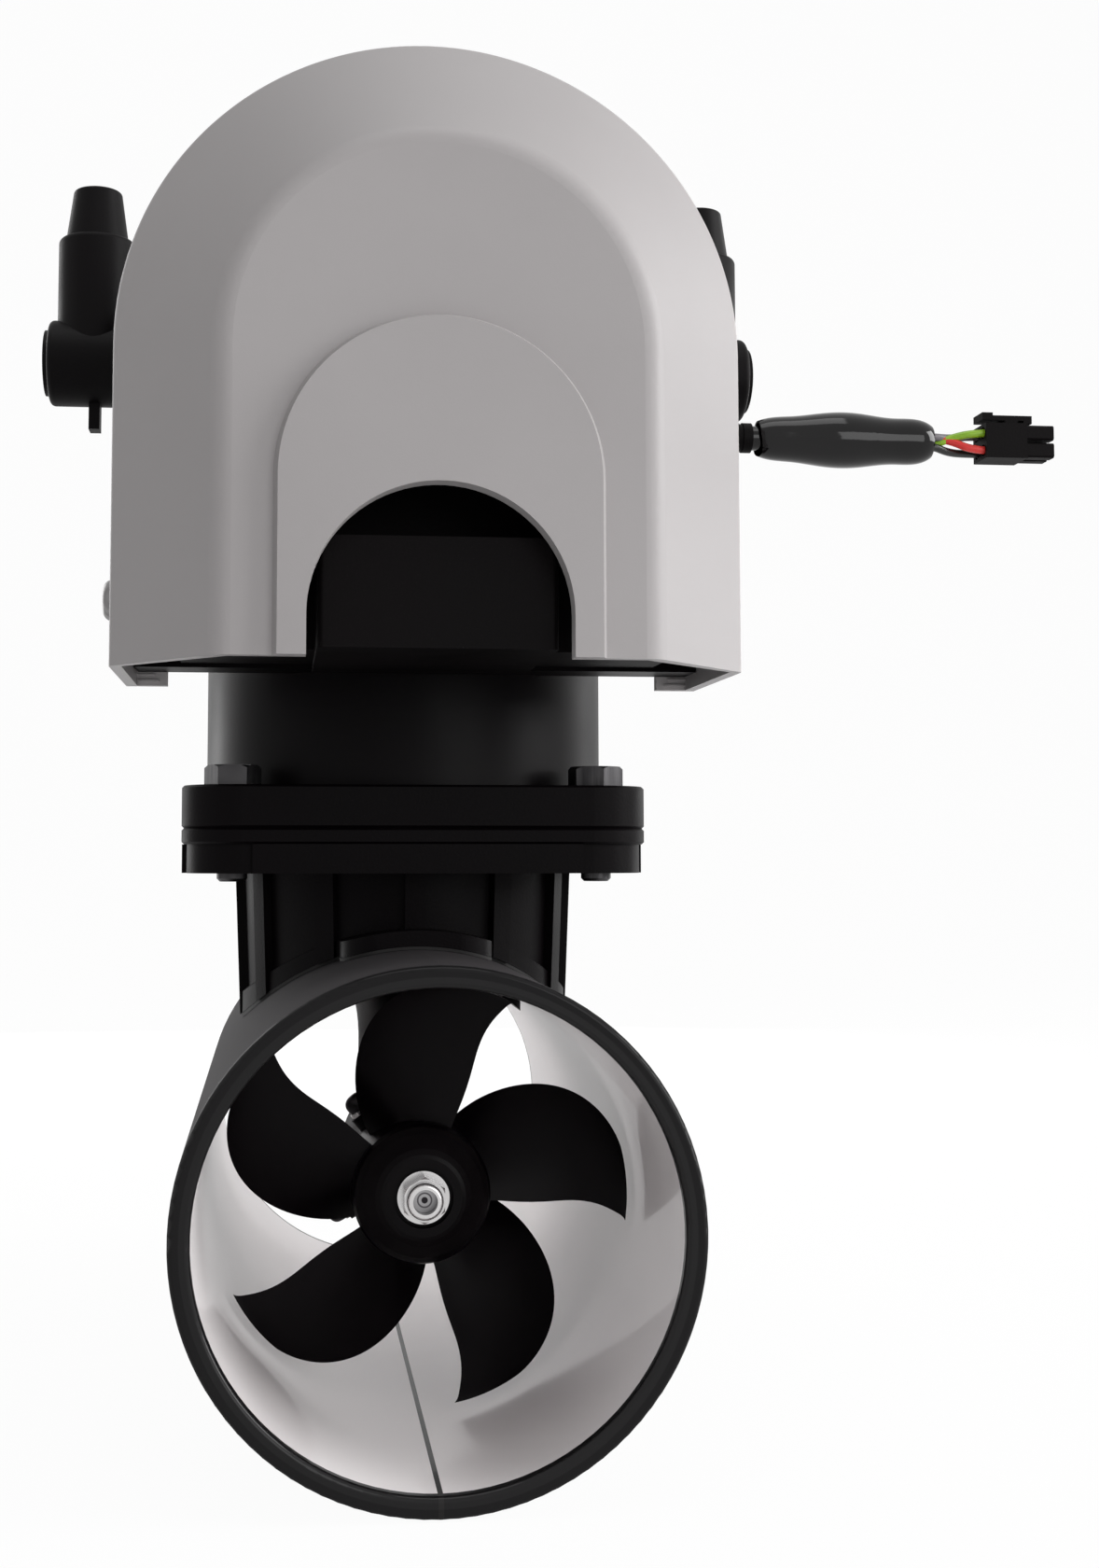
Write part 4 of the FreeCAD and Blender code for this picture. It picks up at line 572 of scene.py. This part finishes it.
tunnel_tree.links.new(wall_roughness, tunnel_shader.inputs["Roughness"])
joint = math_node(
    tunnel_tree,
    "MULTIPLY",
    position_mask(tunnel_resin, "X", -BEYOND, JOINT_HALF_W),
    position_mask(tunnel_resin, "Z", -BEYOND, JOINT_TOP_Z, both_sides=False),
)
paint_over(tunnel_resin, joint, (0.010, 0.009, 0.009))
dress(tunnel_resin, "tunnel_tube")

# %% [markdown]
# ## Black castings and painted steel
# The saddle, the leg and the motor's body are black: the castings have a soft powder
# coat, the motor a smoother paint. Black parts show only their reflections, so low
# specular keeps them deep, and roughness decides how wide the lamps' lines spread.

# %% Black finishes
black_casting = finish(
    "black_powder_coat", (0.0012, 0.0007, 0.0010), (0.0022, 0.0014, 0.0019), (0.40, 0.50),
    specular=0.05, grain=1500.0, patches=25.0, bump=0.25, depth=0.00006,
)
dress(black_casting, "saddle_flange", "gear_housing", "pod_cap", "controller_frame",
      "motor_flange")
black_paint = finish(
    "black_motor_paint", (0.0014, 0.0009, 0.0012), (0.0024, 0.0016, 0.0021), (0.34, 0.44),
    specular=0.07, grain=1300.0, patches=20.0, bump=0.12, depth=0.00004,
)
dress(black_paint, "motor_can", "motor_cap")
prop_composite = finish(
    "propeller_composite", (0.0014, 0.0008, 0.0012), (0.0026, 0.0016, 0.0022), (0.28, 0.38),
    specular=0.07, grain=1100.0, patches=30.0, bump=0.10, depth=0.00004,
)
dress(prop_composite, "propeller")
case_plastic = finish(
    "case_black_plastic", (0.0016, 0.0011, 0.0013), (0.0026, 0.0018, 0.0021), (0.50, 0.60),
    specular=0.06, grain=1800.0, patches=30.0, bump=0.25, depth=0.00005,
)
dress(case_plastic, "controller_case", "terminal_blocks", "signal_gland", "plug_housing")

# %% [markdown]
# ## Rubber
# The battery boots are soft rubber with a satin skin, the sleeve and the jacket of the
# signal cable are glossy. Seals and the gasket are dull, and the spider between the
# coupling's halves is orange.

# %% Rubber finishes
boot_rubber = finish(
    "boot_rubber", (0.0018, 0.0013, 0.0016), (0.0030, 0.0022, 0.0027), (0.46, 0.58),
    specular=0.08, grain=1400.0, patches=40.0, bump=0.2, depth=0.00005,
)
dress(boot_rubber, "battery_boot_left", "battery_boot_right")
sleeve_rubber = finish(
    "sleeve_gloss_rubber", (0.0014, 0.0010, 0.0012), (0.0024, 0.0018, 0.0021), (0.07, 0.10),
    specular=0.3, grain=700.0, patches=60.0, bump=0.05, depth=0.00003,
)
dress(sleeve_rubber, "cable_sleeve", "signal_cable_jacket")
seal_rubber = finish(
    "seal_rubber", (0.010, 0.010, 0.010), (0.016, 0.015, 0.015), (0.65, 0.8),
    specular=0.25, patches=60.0, bump=0.3, depth=0.00006,
)
dress(seal_rubber, "tunnel_gasket", "neck_seal", "pod_cap_seal", "drive_seal", "prop_seal")
spider_rubber = finish(
    "spider_orange_rubber", (0.45, 0.12, 0.02), (0.58, 0.18, 0.04), (0.5, 0.6),
    patches=60.0,
)
dress(spider_rubber, "coupling_spider")

# %% [markdown]
# ## Steel
# The propeller's nut is bright and turned, the flange bolts are dark and blackened.
# Fine tool lines change the roughness from line to line, and that is what makes metal
# look machined. The nut's sideways flats get a darker copy of its steel as painted shade.
# The shaft's centre hole and a ring round it could be cut into the solid; here they are
# painted shade, dark masks in its finish.

# %% Steel finishes
LINE_DEPTH = 0.00002


def steel_finish(name, dark, light, rough, line_scale=60.0, bump=0.15):
    material = bpy.data.materials.new(name)
    material.use_nodes = True
    links = material.node_tree.links
    shader = material.node_tree.nodes["Principled BSDF"]
    shader.inputs["Metallic"].default_value = 1.0
    line_node = use_group(material, line_group, {"Line Scale": line_scale})
    colour = blend_colour(material, line_node.outputs["Streaks"], dark, light)
    links.new(colour, shader.inputs["Base Color"])
    height = line_node.outputs["Height"]
    links.new(blend_value(material, height, *rough), shader.inputs["Roughness"])
    add_bump(material, height, bump, LINE_DEPTH)
    return material


nut_steel = steel_finish(
    "nut_face_steel", (0.52, 0.51, 0.51), (0.62, 0.61, 0.61), (0.2, 0.3), bump=0.05
)
dress(nut_steel, "prop_nut")
# Painted shade: the nut's flats that face sideways take this darker copy of its steel.
nut_flats_painted_shade = steel_finish(
    "nut_flat_painted_shade_steel", (0.14, 0.135, 0.14), (0.20, 0.195, 0.20), (0.15, 0.25), bump=0.05
)
FLAT_SLOPE = 0.6
nut = solids["prop_nut"]
nut.data.materials.append(nut_flats_painted_shade)
for face in nut.data.polygons:
    face.material_index = 1 if abs(face.normal.y) < FLAT_SLOPE else 0
shaft_steel = steel_finish(
    "shaft_end_steel", (0.24, 0.235, 0.24), (0.34, 0.335, 0.34), (0.25, 0.4)
)
# Painted shade: a dark ring on the shaft's end stands for a recess that the solid lacks.
ring_painted_shade = ring_mask(shaft_steel, 0.0015, 0.0019)
paint_over(shaft_steel, ring_painted_shade, (0.08, 0.075, 0.08))
# Painted shade: a dark centre stands for a hole that the solid lacks.
centre_hole_painted_shade = ring_mask(shaft_steel, -BEYOND, 0.0008)
paint_over(shaft_steel, centre_hole_painted_shade, (0.02, 0.018, 0.02))
dress(shaft_steel, "prop_shaft")
bright_steel = steel_finish(
    "bright_turned_steel", (0.50, 0.50, 0.50), (0.66, 0.66, 0.65), (0.18, 0.34)
)
dress(bright_steel, "drive_pin", "leg_bolts", "pod_cap_screws",
      "drive_shaft", "motor_shaft", "shaft_spacer", "terminal_studs", "stud_nuts",
      "oil_washers")
black_steel = steel_finish(
    "blackened_bolt_steel", (0.035, 0.034, 0.036), (0.060, 0.058, 0.060), (0.35, 0.5)
)
dress(black_steel, "flange_bolts", "motor_cap_screws", "oil_plugs")
screw_steel = steel_finish(
    "button_screw_steel", (0.16, 0.155, 0.155), (0.24, 0.235, 0.235), (0.3, 0.45)
)
dress(screw_steel, "cover_screws")
gear_steel = steel_finish(
    "ground_gear_steel", (0.38, 0.37, 0.36), (0.48, 0.47, 0.46), (0.25, 0.4)
)
dress(gear_steel, "drive_pinion", "crown_gear",
      "drive_bearing_outer", "drive_bearing_inner",
      "prop_bearing_outer", "prop_bearing_inner",
      "motor_bearing_outer", "motor_bearing_inner")

# %% [markdown]
# ## Inside the motor and the controller
# These pieces stay hidden until someone takes the part to pieces, and then each has to
# read as what it is: laminated iron, enamelled copper, plated magnets, a green board.

# %% Inner finishes
lamination = steel_finish(
    "laminated_iron", (0.12, 0.12, 0.13), (0.20, 0.20, 0.21), (0.45, 0.6), 200.0, 0.4
)
dress(lamination, "stator_core", "rotor_core")
magnet_plate = steel_finish(
    "magnet_nickel", (0.55, 0.54, 0.50), (0.65, 0.64, 0.60), (0.2, 0.3)
)
dress(magnet_plate, "rotor_magnets")
cast_alloy = steel_finish("cast_alloy", (0.50, 0.50, 0.51), (0.60, 0.60, 0.61), (0.4, 0.5))
dress(cast_alloy, "drive_coupling", "motor_coupling", "board_posts")
copper_wire = steel_finish(
    "winding_copper", (0.50, 0.18, 0.07), (0.68, 0.30, 0.13), (0.25, 0.4), 300.0, 0.5
)
dress(copper_wire, "stator_windings")
board_resin = finish(
    "board_green", (0.004, 0.055, 0.022), (0.008, 0.085, 0.035), (0.25, 0.35),
    coat=0.3, grain=600.0, patches=90.0, bump=0.1,
)
dress(board_resin, "circuit_board")
capacitor_film = finish(
    "capacitor_blue_film", (0.008, 0.016, 0.09), (0.012, 0.024, 0.13), (0.2, 0.3),
    coat=0.4, grain=600.0, patches=60.0, bump=0.05,
)
dress(capacitor_film, "power_capacitors")
contact_tin = steel_finish(
    "contact_tin", (0.60, 0.59, 0.56), (0.70, 0.69, 0.66), (0.3, 0.4)
)
dress(contact_tin, "plug_contacts")

# %% [markdown]
# ## Coloured wire insulation
# Thin insulation is glossy and a little translucent in life; at this size a clear, even
# colour with a soft highlight is enough.

# %% Wire finishes
wire_tones = {
    "signal_wire_red": ((0.62, 0.020, 0.018), (0.72, 0.035, 0.028)),
    "signal_wire_green": ((0.22, 0.42, 0.012), (0.30, 0.52, 0.020)),
    "signal_wire_black": ((0.004, 0.004, 0.004), (0.008, 0.008, 0.008)),
    "signal_wire_grey": ((0.10, 0.09, 0.10), (0.15, 0.14, 0.15)),
}
for wire_name, (deep, pale) in wire_tones.items():
    insulation = finish(
        wire_name + "_insulation", deep, pale, (0.3, 0.4), patches=200.0, bump=0.05,
    )
    dress(insulation, wire_name)

# %% [markdown]
# ## Measure
# Dressing must not change the part's size; the box of the solids is printed here.

# %% Print the box of the solids
bpy.context.view_layer.update()
print("solid box", cad_box)
